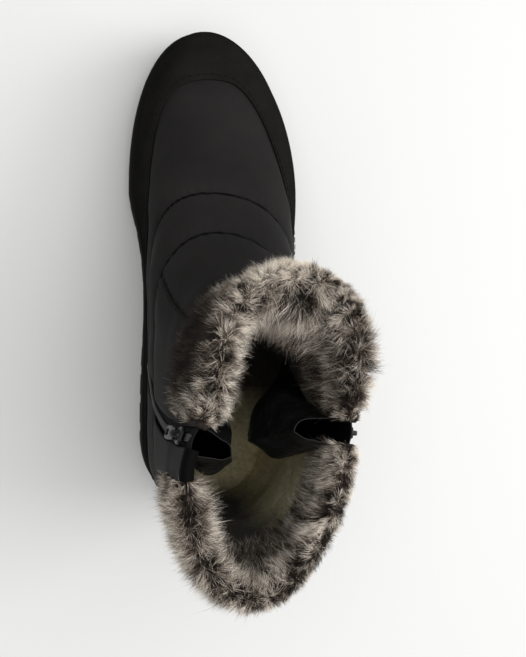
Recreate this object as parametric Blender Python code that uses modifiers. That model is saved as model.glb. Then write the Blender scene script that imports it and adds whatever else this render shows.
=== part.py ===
"""Right winter boot: lugged sole, insole, hollow nylon upper with mudguard, fur cuffs, two zips and gussets.

Frame: +Y points to the toe, +X to the lateral side (the wearer's right), +Z up. Units are metres.
The origin is on the floor, under the middle of the heel.
"""

import math
from typing import NamedTuple

import bmesh
import bpy
import numpy as np
from mathutils import Matrix

# Driving sizes of the upper
GAP = 0.0003
WALL = 0.003
WAIST_DIP = 0.0065
WAIST_SKEW = 0.6
WAIST_TOP_LEVEL = 4
FRONT_SHARE = 0.45
BACK_SHARE = 0.72


class Section(NamedTuple):
    """One closed loop round the last, between a front point and a back point."""

    name: str
    front_x: float
    front_y: float
    front_z: float
    back_x: float
    back_y: float
    back_z: float
    ball_y: float
    lateral: float
    medial: float
    heel_y: float
    heel_lateral: float
    heel_medial: float
    lateral_power: float
    medial_power: float
    back_power: float
    sag: float


# From the sole's feather line up over the toe, vamp and instep to the rim of the shaft.
# Columns: front point, back point, ball, half widths at the ball, heel, half widths there, three powers, sag.
SECTIONS = (
    Section("feather", -0.001, 0.2395, 0.029, 0.000, -0.0345, 0.034,
            0.148, 0.0535, 0.0405, 0.000, 0.0350, 0.0350, 1.90, 2.20, 2.1, 0.006),
    Section("toe_wall", -0.001, 0.2390, 0.040, 0.000, -0.0370, 0.046,
            0.146, 0.0508, 0.0410, 0.000, 0.0370, 0.0370, 1.90, 2.20, 2.1, 0.005),
    Section("toe_turn", -0.001, 0.2335, 0.053, 0.000, -0.0380, 0.058,
            0.142, 0.0465, 0.0405, 0.002, 0.0380, 0.0380, 1.95, 2.20, 2.1, 0.004),
    Section("toe_top", -0.001, 0.2240, 0.062, 0.000, -0.0380, 0.068,
            0.136, 0.0435, 0.0395, 0.004, 0.0385, 0.0385, 2.05, 2.20, 2.1, 0.003),
    Section("cap_edge", 0.000, 0.2050, 0.069, 0.000, -0.0375, 0.078,
            0.122, 0.0415, 0.0385, 0.008, 0.0390, 0.0390, 2.20, 2.25, 2.1, 0.001),
    Section("vamp", 0.000, 0.1800, 0.077, 0.000, -0.0370, 0.088,
            0.100, 0.0400, 0.0385, 0.010, 0.0390, 0.0390, 2.30, 2.30, 2.1, 0.0),
    Section("ball_line", 0.000, 0.1530, 0.089, 0.000, -0.0365, 0.099,
            0.080, 0.0390, 0.0390, 0.010, 0.0385, 0.0390, 2.30, 2.30, 2.1, 0.0),
    Section("instep", 0.001, 0.1280, 0.103, 0.000, -0.0365, 0.111,
            0.066, 0.0385, 0.0390, 0.008, 0.0380, 0.0390, 2.20, 2.20, 2.1, 0.0),
    Section("throat", 0.003, 0.1070, 0.120, 0.000, -0.0375, 0.125,
            0.056, 0.0375, 0.0380, 0.007, 0.0375, 0.0390, 2.10, 2.10, 2.1, 0.0),
    Section("ankle", 0.006, 0.0920, 0.140, -0.001, -0.0395, 0.142,
            0.050, 0.0360, 0.0360, 0.006, 0.0370, 0.0390, 2.10, 2.10, 2.0, 0.0),
    Section("shaft", 0.009, 0.0870, 0.160, -0.002, -0.0425, 0.160,
            0.048, 0.0345, 0.0330, 0.007, 0.0355, 0.0390, 2.10, 2.10, 1.95, 0.0),
    Section("cuff", 0.010, 0.0895, 0.180, -0.004, -0.0450, 0.178,
            0.050, 0.0335, 0.0305, 0.008, 0.0345, 0.0385, 2.10, 2.10, 1.9, 0.0),
    Section("rim", 0.010, 0.0935, 0.198, -0.005, -0.0465, 0.195,
            0.052, 0.0335, 0.0290, 0.010, 0.0335, 0.0380, 2.15, 2.15, 1.85, 0.0),
)
TABLE = np.array([row[1:] for row in SECTIONS])
TOP_LEVEL = len(SECTIONS) - 1

# Upper mesh and zip slot
UPPER_ROWS = 20
FRONT_COLUMNS = 12
BACK_COLUMNS = 7
SIDE_COLUMNS = FRONT_COLUMNS + 1 + BACK_COLUMNS
ZIP_TURN = 0.63
ZIP_FOOT_ROW = 6
ZIP_FOOT_LEVEL = ZIP_FOOT_ROW * TOP_LEVEL / UPPER_ROWS
SLOT_HALF = 0.0055

# Mudguard
MUDGUARD_THICK = 0.0015
MUDGUARD_GAP = 0.0005
MUDGUARD_FOOT_LEVEL = 0.1
MUDGUARD_ROWS = 9
MUDGUARD_TOE_LEVEL = 4.0
MUDGUARD_LATERAL_RISE = 0.75
MUDGUARD_MEDIAL_DIP = 0.52
MUDGUARD_HEEL_LEVEL = 2.1

# Fur cuffs
CUFF_ROW = 16
CUFF_LEVEL = CUFF_ROW * TOP_LEVEL / UPPER_ROWS
CUFF_ZIP_GAP = 0.008
CUFF_ZIP_SLANT = 0.45
CHANNEL_INNER = -(WALL + GAP)
FUR_EDGE = 0.0025
FUR_OUT = 0.008
FUR_IN = 0.007
FUR_TOP = 0.007
LOCK_HEIGHT = 0.003
LOCK_ROWS_OUT = 3
LOCK_ROWS_IN = 2
LOCK_STEPS = (0.0, 0.55, 0.97)
CROWN_STEPS = 4

# Gussets behind the zips
GUSSET_THICK = 0.0008
GUSSET_COLUMNS = 16
GUSSET_ROWS = 7
GUSSET_TOP_LEVEL = 11.6
GUSSET_START = WALL + 0.0008
GUSSET_NECK = 0.0055
GUSSET_HALF = 0.0135
GUSSET_FLANK = 0.019
GUSSET_CAP = 0.012
GUSSET_FLANK_SHARE = 0.45
GUSSET_MEDIAL_SIZE = 0.72

# Zips
ZIP_ROWS = 12
ZIP_BACK = -0.0022
ZIP_TAPE = -0.0004
TEETH_TOP = 0.0011
TEETH_SHARE = 0.42
SLIDER_LEVEL = 10.9
SLIDER_WIDTH = 0.008
SLIDER_LENGTH = 0.011
SLIDER_HEIGHT = 0.0022
ARCH_WIDTH = 0.0022
ARCH_LENGTH = 0.009
ARCH_HEIGHT = 0.0038
ARCH_WINDOW_LENGTH = 0.0062
ARCH_WINDOW_HEIGHT = 0.0028
TAB_WIDTH = 0.0064
TAB_LENGTH = 0.024
TAB_THICK = 0.0012
TAB_BAR = 0.0012
TAB_WINDOW_WIDTH = 0.0032
TAB_WINDOW_LENGTH = 0.005
TAB_HOLE_WIDTH = 0.003
TAB_HOLE_LENGTH = 0.007

# Sole
SEAT = 0.0008
HEEL_FLAT = (-0.022, 0.034)
BALL_FLAT = (0.108, 0.168)
SOLE_TOE_Y = 0.244
HEEL_BEVEL = 0.003
HEEL_BEVEL_RUN = 0.016
ARCH_RISE = 0.004
TOE_SPRING = 0.013
TOE_POWER = 1.8
GROOVE_DEPTH = 0.004
GROOVE_HALF = 0.002
GROOVE_SLOPE = 0.0008
GROOVE_FIRST = 0.005
GROOVE_PITCH = 0.0175
GROOVE_COUNT = 13
GROOVE_INSET = 0.0024
CHEVRON = 0.008
TIP_DEGREES_TOE = (0, 9, 18, 27, 36)
TIP_DEGREES_HEEL = (0, 15, 30, 45, 60, 75)
CROSS_STEPS = (0.5, 0.0, -0.5)


class SoleStep(NamedTuple):
    """A point of the sole's side: how far it stands out from the feather line and how far down it is."""

    name: str
    out: float
    share: float


SOLE_SIDE = (
    SoleStep("ledge", 0.0035, 0.00),
    SoleStep("lip", 0.0046, 0.09),
    SoleStep("lip_foot", 0.0046, 0.24),
    SoleStep("groove", 0.0032, 0.29),
    SoleStep("groove_foot", 0.0032, 0.35),
    SoleStep("rib", 0.0040, 0.40),
    SoleStep("wall", 0.0032, 0.68),
    SoleStep("lug", 0.0034, 0.75),
    SoleStep("lug_foot", 0.0018, 1.00),
)
LUG_STEPS = 2

# Insole
INSOLE_THICK = 0.0055
INSOLE_SLOPE = 0.0015
INSOLE_STATIONS = 28
INSOLE_DISH = 0.001


class Finish(NamedTuple):
    """Colour, roughness and metallic value of a material."""

    colour: tuple
    roughness: float
    metallic: float


FINISHES = {
    "nylon": Finish((0.012, 0.012, 0.013), 0.55, 0.0),
    "suede": Finish((0.009, 0.009, 0.009), 0.85, 0.0),
    "rubber": Finish((0.011, 0.011, 0.011), 0.65, 0.0),
    "fur": Finish((0.16, 0.13, 0.11), 0.9, 0.0),
    "fleece": Finish((0.62, 0.57, 0.48), 0.95, 0.0),
    "lining": Finish((0.008, 0.008, 0.009), 0.45, 0.0),
    "zip": Finish((0.010, 0.010, 0.011), 0.5, 0.0),
    "slider": Finish((0.02, 0.02, 0.022), 0.3, 0.6),
}


# The form of the last, as functions of turn and level
def section_values(level):
    """Every column of the section table at these levels, on a Catmull-Rom curve through its rows."""
    level = np.clip(level, 0.0, TOP_LEVEL)
    low = np.minimum(level.astype(int), TOP_LEVEL - 1)
    share = (level - low)[..., None]
    before, start, end, after = (TABLE[np.clip(low + step, 0, TOP_LEVEL)] for step in (-1, 0, 1, 2))
    start_slope = (end - before) / 2
    end_slope = (after - start) / 2
    square, cube = share**2, share**3
    values = (
        (2 * cube - 3 * square + 1) * start
        + (cube - 2 * square + share) * start_slope
        + (3 * square - 2 * cube) * end
        + (cube - square) * end_slope
    )
    return Section("blend", *np.moveaxis(values, -1, 0))


def last_point(turn, level):
    """Outer face of the upper. Turn is 0 at the toe, +1 and -1 at the heel, positive on the lateral side."""
    turn, level = np.broadcast_arrays(np.asarray(turn, float), np.asarray(level, float))
    turn = (turn + 1) % 2 - 1
    s = section_values(level)
    side, share = np.where(turn < 0, -1.0, 1.0), np.abs(turn)
    lateral_side = side > 0
    half = np.where(lateral_side, s.lateral, s.medial)
    heel_half = np.where(lateral_side, s.heel_lateral, s.heel_medial)
    front_root = 2 / np.where(lateral_side, s.lateral_power, s.medial_power)
    back_root = 2 / s.back_power
    front_angle = np.clip(share / FRONT_SHARE, 0, 1) * math.pi / 2
    back_angle = np.clip((1 - share) / (1 - BACK_SHARE), 0, 1) * math.pi / 2
    middle = np.clip((share - FRONT_SHARE) / (BACK_SHARE - FRONT_SHARE), 0, 1)
    ease = middle**2 * (3 - 2 * middle)
    front_reach = np.clip(np.cos(front_angle), 0, 1) ** front_root
    back_reach = np.clip(np.cos(back_angle), 0, 1) ** back_root
    along = s.ball_y + (s.heel_y - s.ball_y) * middle
    along = along + (s.front_y - s.ball_y) * front_reach - (s.heel_y - s.back_y) * back_reach
    waist = np.sin(math.pi * middle**WAIST_SKEW) ** 2
    dip = np.where(side < 0, WAIST_DIP, 0.0) * np.clip(1 - level / WAIST_TOP_LEVEL, 0, 1) * waist
    across = half + (heel_half - half) * ease - dip
    across = across * np.sin(front_angle) ** front_root * np.sin(back_angle) ** back_root
    share_y = (along - s.back_y) / (s.front_y - s.back_y)
    x = s.back_x + (s.front_x - s.back_x) * share_y + side * across
    sag = s.sag * np.sin(math.pi * np.clip(share_y, 0, 1) ** 1.45)
    z = s.back_z + (s.front_z - s.back_z) * share_y - sag
    return np.stack([x, along, z], axis=-1)


def unit(vectors):
    return vectors / np.linalg.norm(vectors, axis=-1, keepdims=True)


def wall_frame(turn, level):
    """Point on the outer wall, unit direction outwards and unit direction up the wall."""
    turn_step, level_step = 1e-3, 1e-2
    level = np.asarray(level, float)
    around = last_point(turn + turn_step, level) - last_point(turn - turn_step, level)
    high = np.minimum(level + level_step, TOP_LEVEL)
    low = np.maximum(level - level_step, 0)
    up = unit(last_point(turn, high) - last_point(turn, low))
    return last_point(turn, level), unit(np.cross(up, around)), up


def wall_point(turn, level, out=0.0, up=0.0):
    """A point that stands out from the wall, or above it past the rim."""
    point, outward, upward = wall_frame(turn, level)
    return point + outward * np.asarray(out)[..., None] + upward * np.asarray(up)[..., None]


def turn_for(width, level):
    """The change of turn that makes this width along the wall beside a zip."""
    step = 1e-3
    run = last_point(ZIP_TURN + step, level) - last_point(ZIP_TURN - step, level)
    return width * 2 * step / np.linalg.norm(run, axis=-1)


# Building objects
def clear_scene():
    for obj in list(bpy.data.objects):
        bpy.data.objects.remove(obj)


def make_material(name, finish):
    material = bpy.data.materials.new(name)
    material.use_nodes = True
    shader = material.node_tree.nodes["Principled BSDF"]
    shader.inputs["Base Color"].default_value = (*finish.colour, 1.0)
    shader.inputs["Roughness"].default_value = finish.roughness
    shader.inputs["Metallic"].default_value = finish.metallic
    return material


def add_object(name, data, finish, collection):
    obj = bpy.data.objects.new(name, data)
    data.materials.append(make_material(name, FINISHES[finish]))
    collection.objects.link(obj)
    return obj


def lofted(columns, rows, place, hole=None):
    """A grid whose points are moved to place(column, row), with the cells of hole(column, row) left out."""
    loft = bmesh.new()
    bmesh.ops.create_grid(loft, x_segments=columns, y_segments=rows, size=0.5)
    share = np.array([vert.co[:2] for vert in loft.verts]) + 0.5
    index = np.rint(share * (columns, rows)).astype(int)
    left_out = []
    for face in loft.faces if hole else ():
        centre = face.calc_center_median()
        if hole(int((centre.x + 0.5) * columns), int((centre.y + 0.5) * rows)):
            left_out.append(face)
    for vert, point in zip(loft.verts, place(index[:, 0], index[:, 1])):
        vert.co = point
    bmesh.ops.delete(loft, geom=left_out, context="FACES")
    bmesh.ops.remove_doubles(loft, verts=loft.verts, dist=1e-6)
    return loft


def as_mesh(name, loft):
    mesh = bpy.data.meshes.new(name)
    loft.to_mesh(mesh)
    loft.free()
    mesh.shade_smooth()
    mesh.set_sharp_from_angle(angle=math.radians(40))
    return mesh


def sheet_solid(name, loft, thickness, offset, finish, collection):
    """An open sheet given its thickness by Solidify. The sheet's faces point out of the boot."""
    bmesh.ops.reverse_faces(loft, faces=loft.faces)
    obj = add_object(name, as_mesh(name, loft), finish, collection)
    wall = obj.modifiers.new("wall", "SOLIDIFY")
    wall.thickness = thickness
    wall.offset = offset
    wall.use_even_offset = True
    return obj


def closed_solid(name, loft, finish, collection):
    """A tube whose open ends are filled and whose faces point out."""
    bmesh.ops.holes_fill(loft, edges=loft.edges, sides=0)
    bmesh.ops.recalc_face_normals(loft, faces=loft.faces)
    return add_object(name, as_mesh(name, loft), finish, collection)


# Upper and what is shaped by it
def upper_turn(column, level):
    """Columns spread from toe to zip and from zip to heel, with one on each edge of the zip's slot."""
    signed = column - SIDE_COLUMNS
    signed = np.where(signed > SIDE_COLUMNS, signed - 2 * SIDE_COLUMNS, signed)
    count = np.abs(signed)
    half = turn_for(SLOT_HALF, level)
    front = count / FRONT_COLUMNS * (ZIP_TURN - half)
    back = ZIP_TURN + half + (count - FRONT_COLUMNS - 1) / BACK_COLUMNS * (1 - ZIP_TURN - half)
    return np.sign(signed) * np.where(count <= FRONT_COLUMNS, front, back)


def in_zip_slot(column, row):
    slots = (SIDE_COLUMNS + FRONT_COLUMNS, SIDE_COLUMNS - FRONT_COLUMNS - 1)
    return column in slots and row >= ZIP_FOOT_ROW


def make_upper(collection):
    def place(column, row):
        level = row * TOP_LEVEL / UPPER_ROWS
        return last_point(upper_turn(column, level), level)

    loft = lofted(2 * SIDE_COLUMNS, UPPER_ROWS, place, in_zip_slot)
    return sheet_solid("upper", loft, WALL, -1, "nylon", collection)


def smooth_step(value, start, end):
    share = np.clip((value - start) / (end - start), 0, 1)
    return share**2 * (3 - 2 * share)


def mudguard_level(turn):
    """Top edge of the mudguard: raised at the lateral ball, dipped at the medial ball, low at the heel."""
    rise = MUDGUARD_LATERAL_RISE * smooth_step(turn, 0.08, 0.3)
    dip = MUDGUARD_MEDIAL_DIP * np.exp(-(((turn + 0.26) / 0.105) ** 2))
    front = MUDGUARD_TOE_LEVEL + rise - dip
    heel = smooth_step(np.abs(turn), 0.42, 0.62)
    return front + (MUDGUARD_HEEL_LEVEL - front) * heel


def make_mudguard(collection):
    def place(column, row):
        turn = upper_turn(column, np.zeros(len(column)))
        rise = (mudguard_level(turn) - MUDGUARD_FOOT_LEVEL) * row / MUDGUARD_ROWS
        return wall_point(turn, MUDGUARD_FOOT_LEVEL + rise, MUDGUARD_GAP)

    loft = lofted(2 * SIDE_COLUMNS, MUDGUARD_ROWS, place)
    return sheet_solid("mudguard", loft, MUDGUARD_THICK, 1, "suede", collection)


def cuff_profile():
    """Section of a fur cuff, a channel over the rim: rows of level, height over it, stand-out, lock row."""
    inner = CHANNEL_INNER
    levels = np.linspace(CUFF_LEVEL, TOP_LEVEL, UPPER_ROWS - CUFF_ROW + 1)
    channel = [(level, 0.0, GAP, None) for level in levels[:-1]]
    channel += [(TOP_LEVEL, GAP, GAP, None), (TOP_LEVEL, GAP, inner, None)]
    channel += [(level, 0.0, inner, None) for level in levels[-2::-1]]
    fur = [(CUFF_LEVEL, 0.0, inner - FUR_EDGE, None)]
    for lock in range(LOCK_ROWS_IN):
        for step in LOCK_STEPS:
            share = (lock + step) / LOCK_ROWS_IN
            level = CUFF_LEVEL + (TOP_LEVEL - CUFF_LEVEL) * (0.04 + 0.92 * share)
            fur.append((level, 0.0, inner - FUR_IN, (lock, step)))
    middle, half = (GAP + FUR_OUT + inner - FUR_IN) / 2, (GAP + FUR_OUT - inner + FUR_IN) / 2
    for angle in np.linspace(math.pi, 0, CROWN_STEPS + 1):
        height = FUR_TOP * math.sin(angle) + GAP
        fur.append((TOP_LEVEL, height, middle + half * math.cos(angle), (LOCK_ROWS_IN, 0.5)))
    for lock in range(LOCK_ROWS_OUT):
        for step in LOCK_STEPS:
            share = (lock + step) / LOCK_ROWS_OUT
            level = TOP_LEVEL - (TOP_LEVEL - CUFF_LEVEL) * (0.04 + 0.92 * share)
            fur.append((level, 0.0, GAP + FUR_OUT, (LOCK_ROWS_IN + 1 + lock, step)))
    fur.append((CUFF_LEVEL, 0.0, GAP + FUR_EDGE, None))
    return channel + fur


def fur_fullness(turn):
    """Share of the full pile outside the rim: thin beside the lateral zip and on the lateral heel."""
    turn = (turn + 1) % 2 - 1
    front = 1 - 0.6 * smooth_step(turn, 0.36, 0.6)
    lateral_heel = 0.3 + 0.35 * smooth_step(turn, 0.82, 1.0)
    medial_heel = 1 - 0.35 * smooth_step(-turn, 0.85, 1.0)
    return np.where(turn > ZIP_TURN, lateral_heel, np.where(turn < -ZIP_TURN, medial_heel, front))


def fur_depth(turn):
    """Share of the pile inside the rim: deepest at the front, where it bunches."""
    turn = (turn + 1) % 2 - 1
    return 1 + 0.8 * np.exp(-((turn / 0.2) ** 2))


def make_cuff(name, side_columns, middle_column, collection):
    """Fur band over the rim between the two zips, with rows of staggered pointed locks raised on it."""
    profile = cuff_profile()
    profile.append(profile[0])
    level, height, out = (np.array([row[i] for row in profile]) for i in range(3))
    lock_row = np.array([row[3][0] if row[3] else 0 for row in profile])
    lock_step = np.array([row[3][1] if row[3] else 0.0 for row in profile])
    columns = 2 * side_columns

    def place(column, row):
        turn = upper_turn(middle_column - side_columns + column, level[row])
        depth = np.clip(-out[row], 0, None)
        end = turn_for(CUFF_ZIP_GAP - SLOT_HALF + CUFF_ZIP_SLANT * depth, level[row])
        turn = turn + np.where(column == 0, end, 0) - np.where(column == columns, end, 0)
        ridge = (column + lock_row[row]) % 2
        lift = LOCK_HEIGHT * ridge * lock_step[row]
        outside = GAP + (out[row] - GAP + lift) * fur_fullness(turn)
        inside = CHANNEL_INNER - (CHANNEL_INNER - out[row] + lift) * fur_depth(turn)
        return wall_point(turn, level[row], np.where(out[row] > 0, outside, inside), height[row])

    loft = lofted(columns, len(profile) - 1, place)
    return closed_solid(name, loft, "fur", collection)


def make_gusset(name, side, collection):
    """Folded nylon bellows behind a zip: two flanks that spread inwards to a fold, closed at the foot."""

    def place(column, row):
        share = 2 * column / GUSSET_COLUMNS - 1
        away = np.abs(share)
        flank = np.clip((1 - away) / GUSSET_FLANK_SHARE, 0, 1)
        angle = np.clip(away / (1 - GUSSET_FLANK_SHARE), 0, 1) * math.pi / 2
        rise = row / GUSSET_ROWS
        level = ZIP_FOOT_LEVEL + (GUSSET_TOP_LEVEL - ZIP_FOOT_LEVEL) * rise
        swell = np.clip(rise, 0.08, 1) * (1 if side > 0 else GUSSET_MEDIAL_SIZE)
        half = GUSSET_NECK + (GUSSET_HALF - GUSSET_NECK) * flank * swell
        sideways = np.sign(share) * np.where(flank < 1, half, half * np.sin(angle))
        depth = GUSSET_START + (GUSSET_FLANK * flank + GUSSET_CAP * np.cos(angle)) * swell
        point, outward, up = wall_frame(side * ZIP_TURN, level)
        along = unit(np.cross(outward, up)) * side
        return point - outward * depth[:, None] + along * sideways[:, None]

    loft = lofted(GUSSET_COLUMNS, GUSSET_ROWS, place)
    return sheet_solid(name, loft, GUSSET_THICK, 0, "lining", collection)


def make_zip(name, side, collection):
    """Zip in its slot: a tape with the closed row of teeth as a ridge along its middle."""
    half = SLOT_HALF - GAP
    tape_side = TEETH_SHARE + 0.06
    profile = [(-1, ZIP_BACK), (1, ZIP_BACK), (1, ZIP_TAPE), (tape_side, ZIP_TAPE), (TEETH_SHARE, TEETH_TOP)]
    profile += [(-TEETH_SHARE, TEETH_TOP), (-tape_side, ZIP_TAPE), (-1, ZIP_TAPE), (-1, ZIP_BACK)]
    across, out = np.array(profile, float).T
    foot = ZIP_FOOT_LEVEL + 0.05

    def place(column, row):
        level = foot + (TOP_LEVEL - foot) * column / ZIP_ROWS
        turn = side * (ZIP_TURN + turn_for(half, level) * across[row])
        return wall_point(turn, level, out[row])

    loft = lofted(ZIP_ROWS, len(profile) - 1, place)
    return closed_solid(name, loft, "zip", collection)


# Sliders and pull tabs, in a frame on the zip: X across it, Y up it, Z out of the boot
def zip_matrix(side, out):
    point, outward, up = wall_frame(side * ZIP_TURN, np.array(SLIDER_LEVEL))
    across = unit(np.cross(up, outward))
    place = Matrix.Identity(4)
    for i, axis in enumerate((across, up, outward)):
        place.col[i] = (*axis, 0.0)
    place.col[3] = (*(point + outward * out), 1.0)
    return place


def add_box(name, size, centre, finish, collection):
    box = bmesh.new()
    bmesh.ops.create_cube(box, size=1.0)
    bmesh.ops.scale(box, vec=size, verts=box.verts)
    bmesh.ops.translate(box, vec=centre, verts=box.verts)
    return add_object(name, as_mesh(name, box), finish, collection)


def combine(obj, other, operation):
    """Boolean with a helper object that stays out of the part."""
    step = obj.modifiers.new(operation.lower(), "BOOLEAN")
    step.operation = operation
    step.object = other
    other.hide_render = True
    other.display_type = "WIRE"


def make_slider(name, side, collection, cutters):
    """Slider plate on the teeth, with an arch along it that holds the pull tab's bar."""
    seat = zip_matrix(side, TEETH_TOP + GAP)
    plate_size = (SLIDER_WIDTH, SLIDER_LENGTH, SLIDER_HEIGHT)
    plate = add_box(name, plate_size, (0, 0, SLIDER_HEIGHT / 2), "slider", collection)
    arch_foot = SLIDER_HEIGHT / 2
    arch_size = (ARCH_WIDTH, ARCH_LENGTH, ARCH_HEIGHT + SLIDER_HEIGHT - arch_foot)
    arch_centre = (0, 0, arch_foot + arch_size[2] / 2)
    arch = add_box(name + "_arch", arch_size, arch_centre, "slider", cutters)
    window_size = (2 * ARCH_WIDTH, ARCH_WINDOW_LENGTH, ARCH_WINDOW_HEIGHT)
    window_centre = (0, 0, SLIDER_HEIGHT + ARCH_WINDOW_HEIGHT / 2)
    window = add_box(name + "_window", window_size, window_centre, "slider", cutters)
    edges = plate.modifiers.new("edges", "BEVEL")
    edges.width = 0.0006
    edges.segments = 2
    combine(plate, arch, "UNION")
    combine(plate, window, "DIFFERENCE")
    for obj in (plate, arch, window):
        obj.matrix_world = seat
    return plate


def rounded_outline(width, length, radius, centre_y, steps=4):
    """Points of a rectangle with round corners, about (0, centre_y)."""
    points = []
    for corner in range(4):
        sign_x, sign_y = ((1, 1), (-1, 1), (-1, -1), (1, -1))[corner]
        for step in range(steps + 1):
            angle = math.pi / 2 * (corner + step / steps)
            x = sign_x * (width / 2 - radius) + radius * math.cos(angle)
            y = centre_y + sign_y * (length / 2 - radius) + radius * math.sin(angle)
            points.append((x, y))
    return points


def make_pull_tab(name, side, collection):
    """Flat tab that hangs from the slider's arch. Its origin is on its hinge, the middle of its bar."""
    curve = bpy.data.curves.new(name, "CURVE")
    curve.dimensions = "2D"
    curve.fill_mode = "BOTH"
    curve.extrude = TAB_THICK / 2
    top = TAB_BAR / 2
    window_y = -TAB_BAR / 2 - TAB_WINDOW_LENGTH / 2
    hole_y = top - TAB_LENGTH + TAB_BAR + TAB_HOLE_LENGTH / 2
    outlines = (
        rounded_outline(TAB_WIDTH, TAB_LENGTH, 0.0018, top - TAB_LENGTH / 2),
        rounded_outline(TAB_WINDOW_WIDTH, TAB_WINDOW_LENGTH, 0.0004, window_y, 1),
        rounded_outline(TAB_HOLE_WIDTH, TAB_HOLE_LENGTH, 0.0014, hole_y, 3),
    )
    for outline in outlines:
        spline = curve.splines.new("POLY")
        spline.points.add(len(outline) - 1)
        for point, (x, y) in zip(spline.points, outline):
            point.co = (x, y, 0.0, 1.0)
        spline.use_cyclic_u = True
    tab = add_object(name, curve, "slider", collection)
    hinge_height = TEETH_TOP + GAP + SLIDER_HEIGHT + ARCH_WINDOW_HEIGHT / 2
    tab.matrix_world = zip_matrix(side, hinge_height)
    return tab


# Sole and insole
def tread_height(y):
    """Bottom of the lugs: flat under heel and ball, raised at the arch, sprung at the toe, bevelled heel."""
    arch = np.clip((y - HEEL_FLAT[1]) / (BALL_FLAT[0] - HEEL_FLAT[1]), 0, 1)
    toe = np.clip((y - BALL_FLAT[1]) / (SOLE_TOE_Y - BALL_FLAT[1]), 0, None)
    heel = np.clip((HEEL_FLAT[0] - y) / HEEL_BEVEL_RUN, 0, None)
    return ARCH_RISE * np.sin(math.pi * arch) ** 2 + TOE_SPRING * toe**TOE_POWER + HEEL_BEVEL * heel**2


def sole_stations():
    """Places along the sole, from toe to heel, as (y, depth of tread groove there)."""
    feather = SECTIONS[0]
    toe_run, heel_run = feather.front_y - feather.ball_y, feather.heel_y - feather.back_y
    stations = [(feather.ball_y + toe_run * math.cos(math.radians(angle)), 0.0) for angle in TIP_DEGREES_TOE]
    for groove in reversed(range(GROOVE_COUNT)):
        y = GROOVE_FIRST + GROOVE_PITCH * groove
        outer = GROOVE_HALF + GROOVE_SLOPE
        stations += [(y + outer, 0.0), (y + GROOVE_HALF, GROOVE_DEPTH)]
        stations += [(y - GROOVE_HALF, GROOVE_DEPTH), (y - outer, 0.0)]
    heel = [(feather.heel_y - heel_run * math.cos(math.radians(angle)), 0.0) for angle in TIP_DEGREES_HEEL]
    return np.array(stations + heel[::-1])


def feather_turns(y):
    """Turn of the feather line at these places along the sole."""
    turns = np.linspace(0, 1, 4001)
    return np.interp(-y, -last_point(turns, 0.0)[:, 1], turns)


def feather_edge(turn, out):
    """The feather line moved outwards, level with itself."""
    step = 1e-4
    run = last_point(turn + step, 0.0) - last_point(turn - step, 0.0)
    outward = np.stack([-run[:, 1], run[:, 0], 0 * run[:, 0]], axis=-1)
    return last_point(turn, 0.0) + unit(outward) * np.asarray(out)[..., None]


def cross_points(lateral, medial, share):
    """Points between the two edges of a section: share 1 at the lateral edge, -1 at the medial one."""
    return medial + (lateral - medial) * ((1 + share) / 2)[:, None]


def make_outsole(collection):
    """Sole unit: a stepped and ribbed side, and V-shaped tread grooves between its lugs."""
    stations = sole_stations()
    turns = feather_turns(stations[:, 0])
    steps = [(1.0, step) for step in SOLE_SIDE]
    steps += [(share, SOLE_SIDE[-1]) for share in CROSS_STEPS]
    steps += [(-1.0, step) for step in reversed(SOLE_SIDE)]
    steps += [(share, SOLE_SIDE[0]) for share in reversed(CROSS_STEPS)]
    steps.append(steps[0])
    cross, out, drop = (np.array(values) for values in zip(*[(c, s.out, s.share) for c, s in steps]))
    lug_share = SOLE_SIDE[-LUG_STEPS].share

    def place(column, row):
        groove = stations[column, 1]
        in_lug = drop[row] >= lug_share
        reach = out[row] - np.where(in_lug & (groove > 0), GROOVE_INSET, 0.0)
        lateral = feather_edge(turns[column], reach)
        medial = feather_edge(-turns[column], reach)
        points = cross_points(lateral, medial, cross[row])
        top = points[:, 2] - SEAT
        bottom = tread_height(points[:, 1])
        taper = np.sin(math.pi * column / (len(stations) - 1))
        under = drop[row] == 1.0
        points[:, 1] += np.where(under, CHEVRON * taper * (1 - np.abs(cross[row])), 0.0)
        points[:, 2] = top + (bottom - top) * drop[row] + np.where(under, groove, 0.0)
        return points

    loft = lofted(len(stations) - 1, len(steps) - 1, place)
    return closed_solid("outsole", loft, "rubber", collection)


def make_insole(collection):
    """Footbed inside the upper, with a shallow dish and sloped edges."""
    inner = -(WALL + 3 * GAP)
    loop = ((1.0, inner, 0.0), (1.0, inner - INSOLE_SLOPE, 1.0), (0.4, inner - INSOLE_SLOPE, 1.0))
    loop += ((-0.4, inner - INSOLE_SLOPE, 1.0), (-1.0, inner - INSOLE_SLOPE, 1.0), (-1.0, inner, 0.0))
    loop += ((-0.4, inner, 0.0), (0.4, inner, 0.0), (1.0, inner, 0.0))
    cross, out, rise = np.array(loop).T
    turns = np.linspace(0, 1, INSOLE_STATIONS + 1)

    def place(column, row):
        lateral = feather_edge(turns[column], out[row])
        medial = feather_edge(-turns[column], out[row])
        points = cross_points(lateral, medial, cross[row])
        dish = INSOLE_DISH * (1 - np.abs(cross[row]))
        points[:, 2] += GAP - SEAT + rise[row] * (INSOLE_THICK - dish)
        return points

    loft = lofted(INSOLE_STATIONS, len(loop) - 1, place)
    return closed_solid("insole", loft, "fleece", collection)


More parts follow.
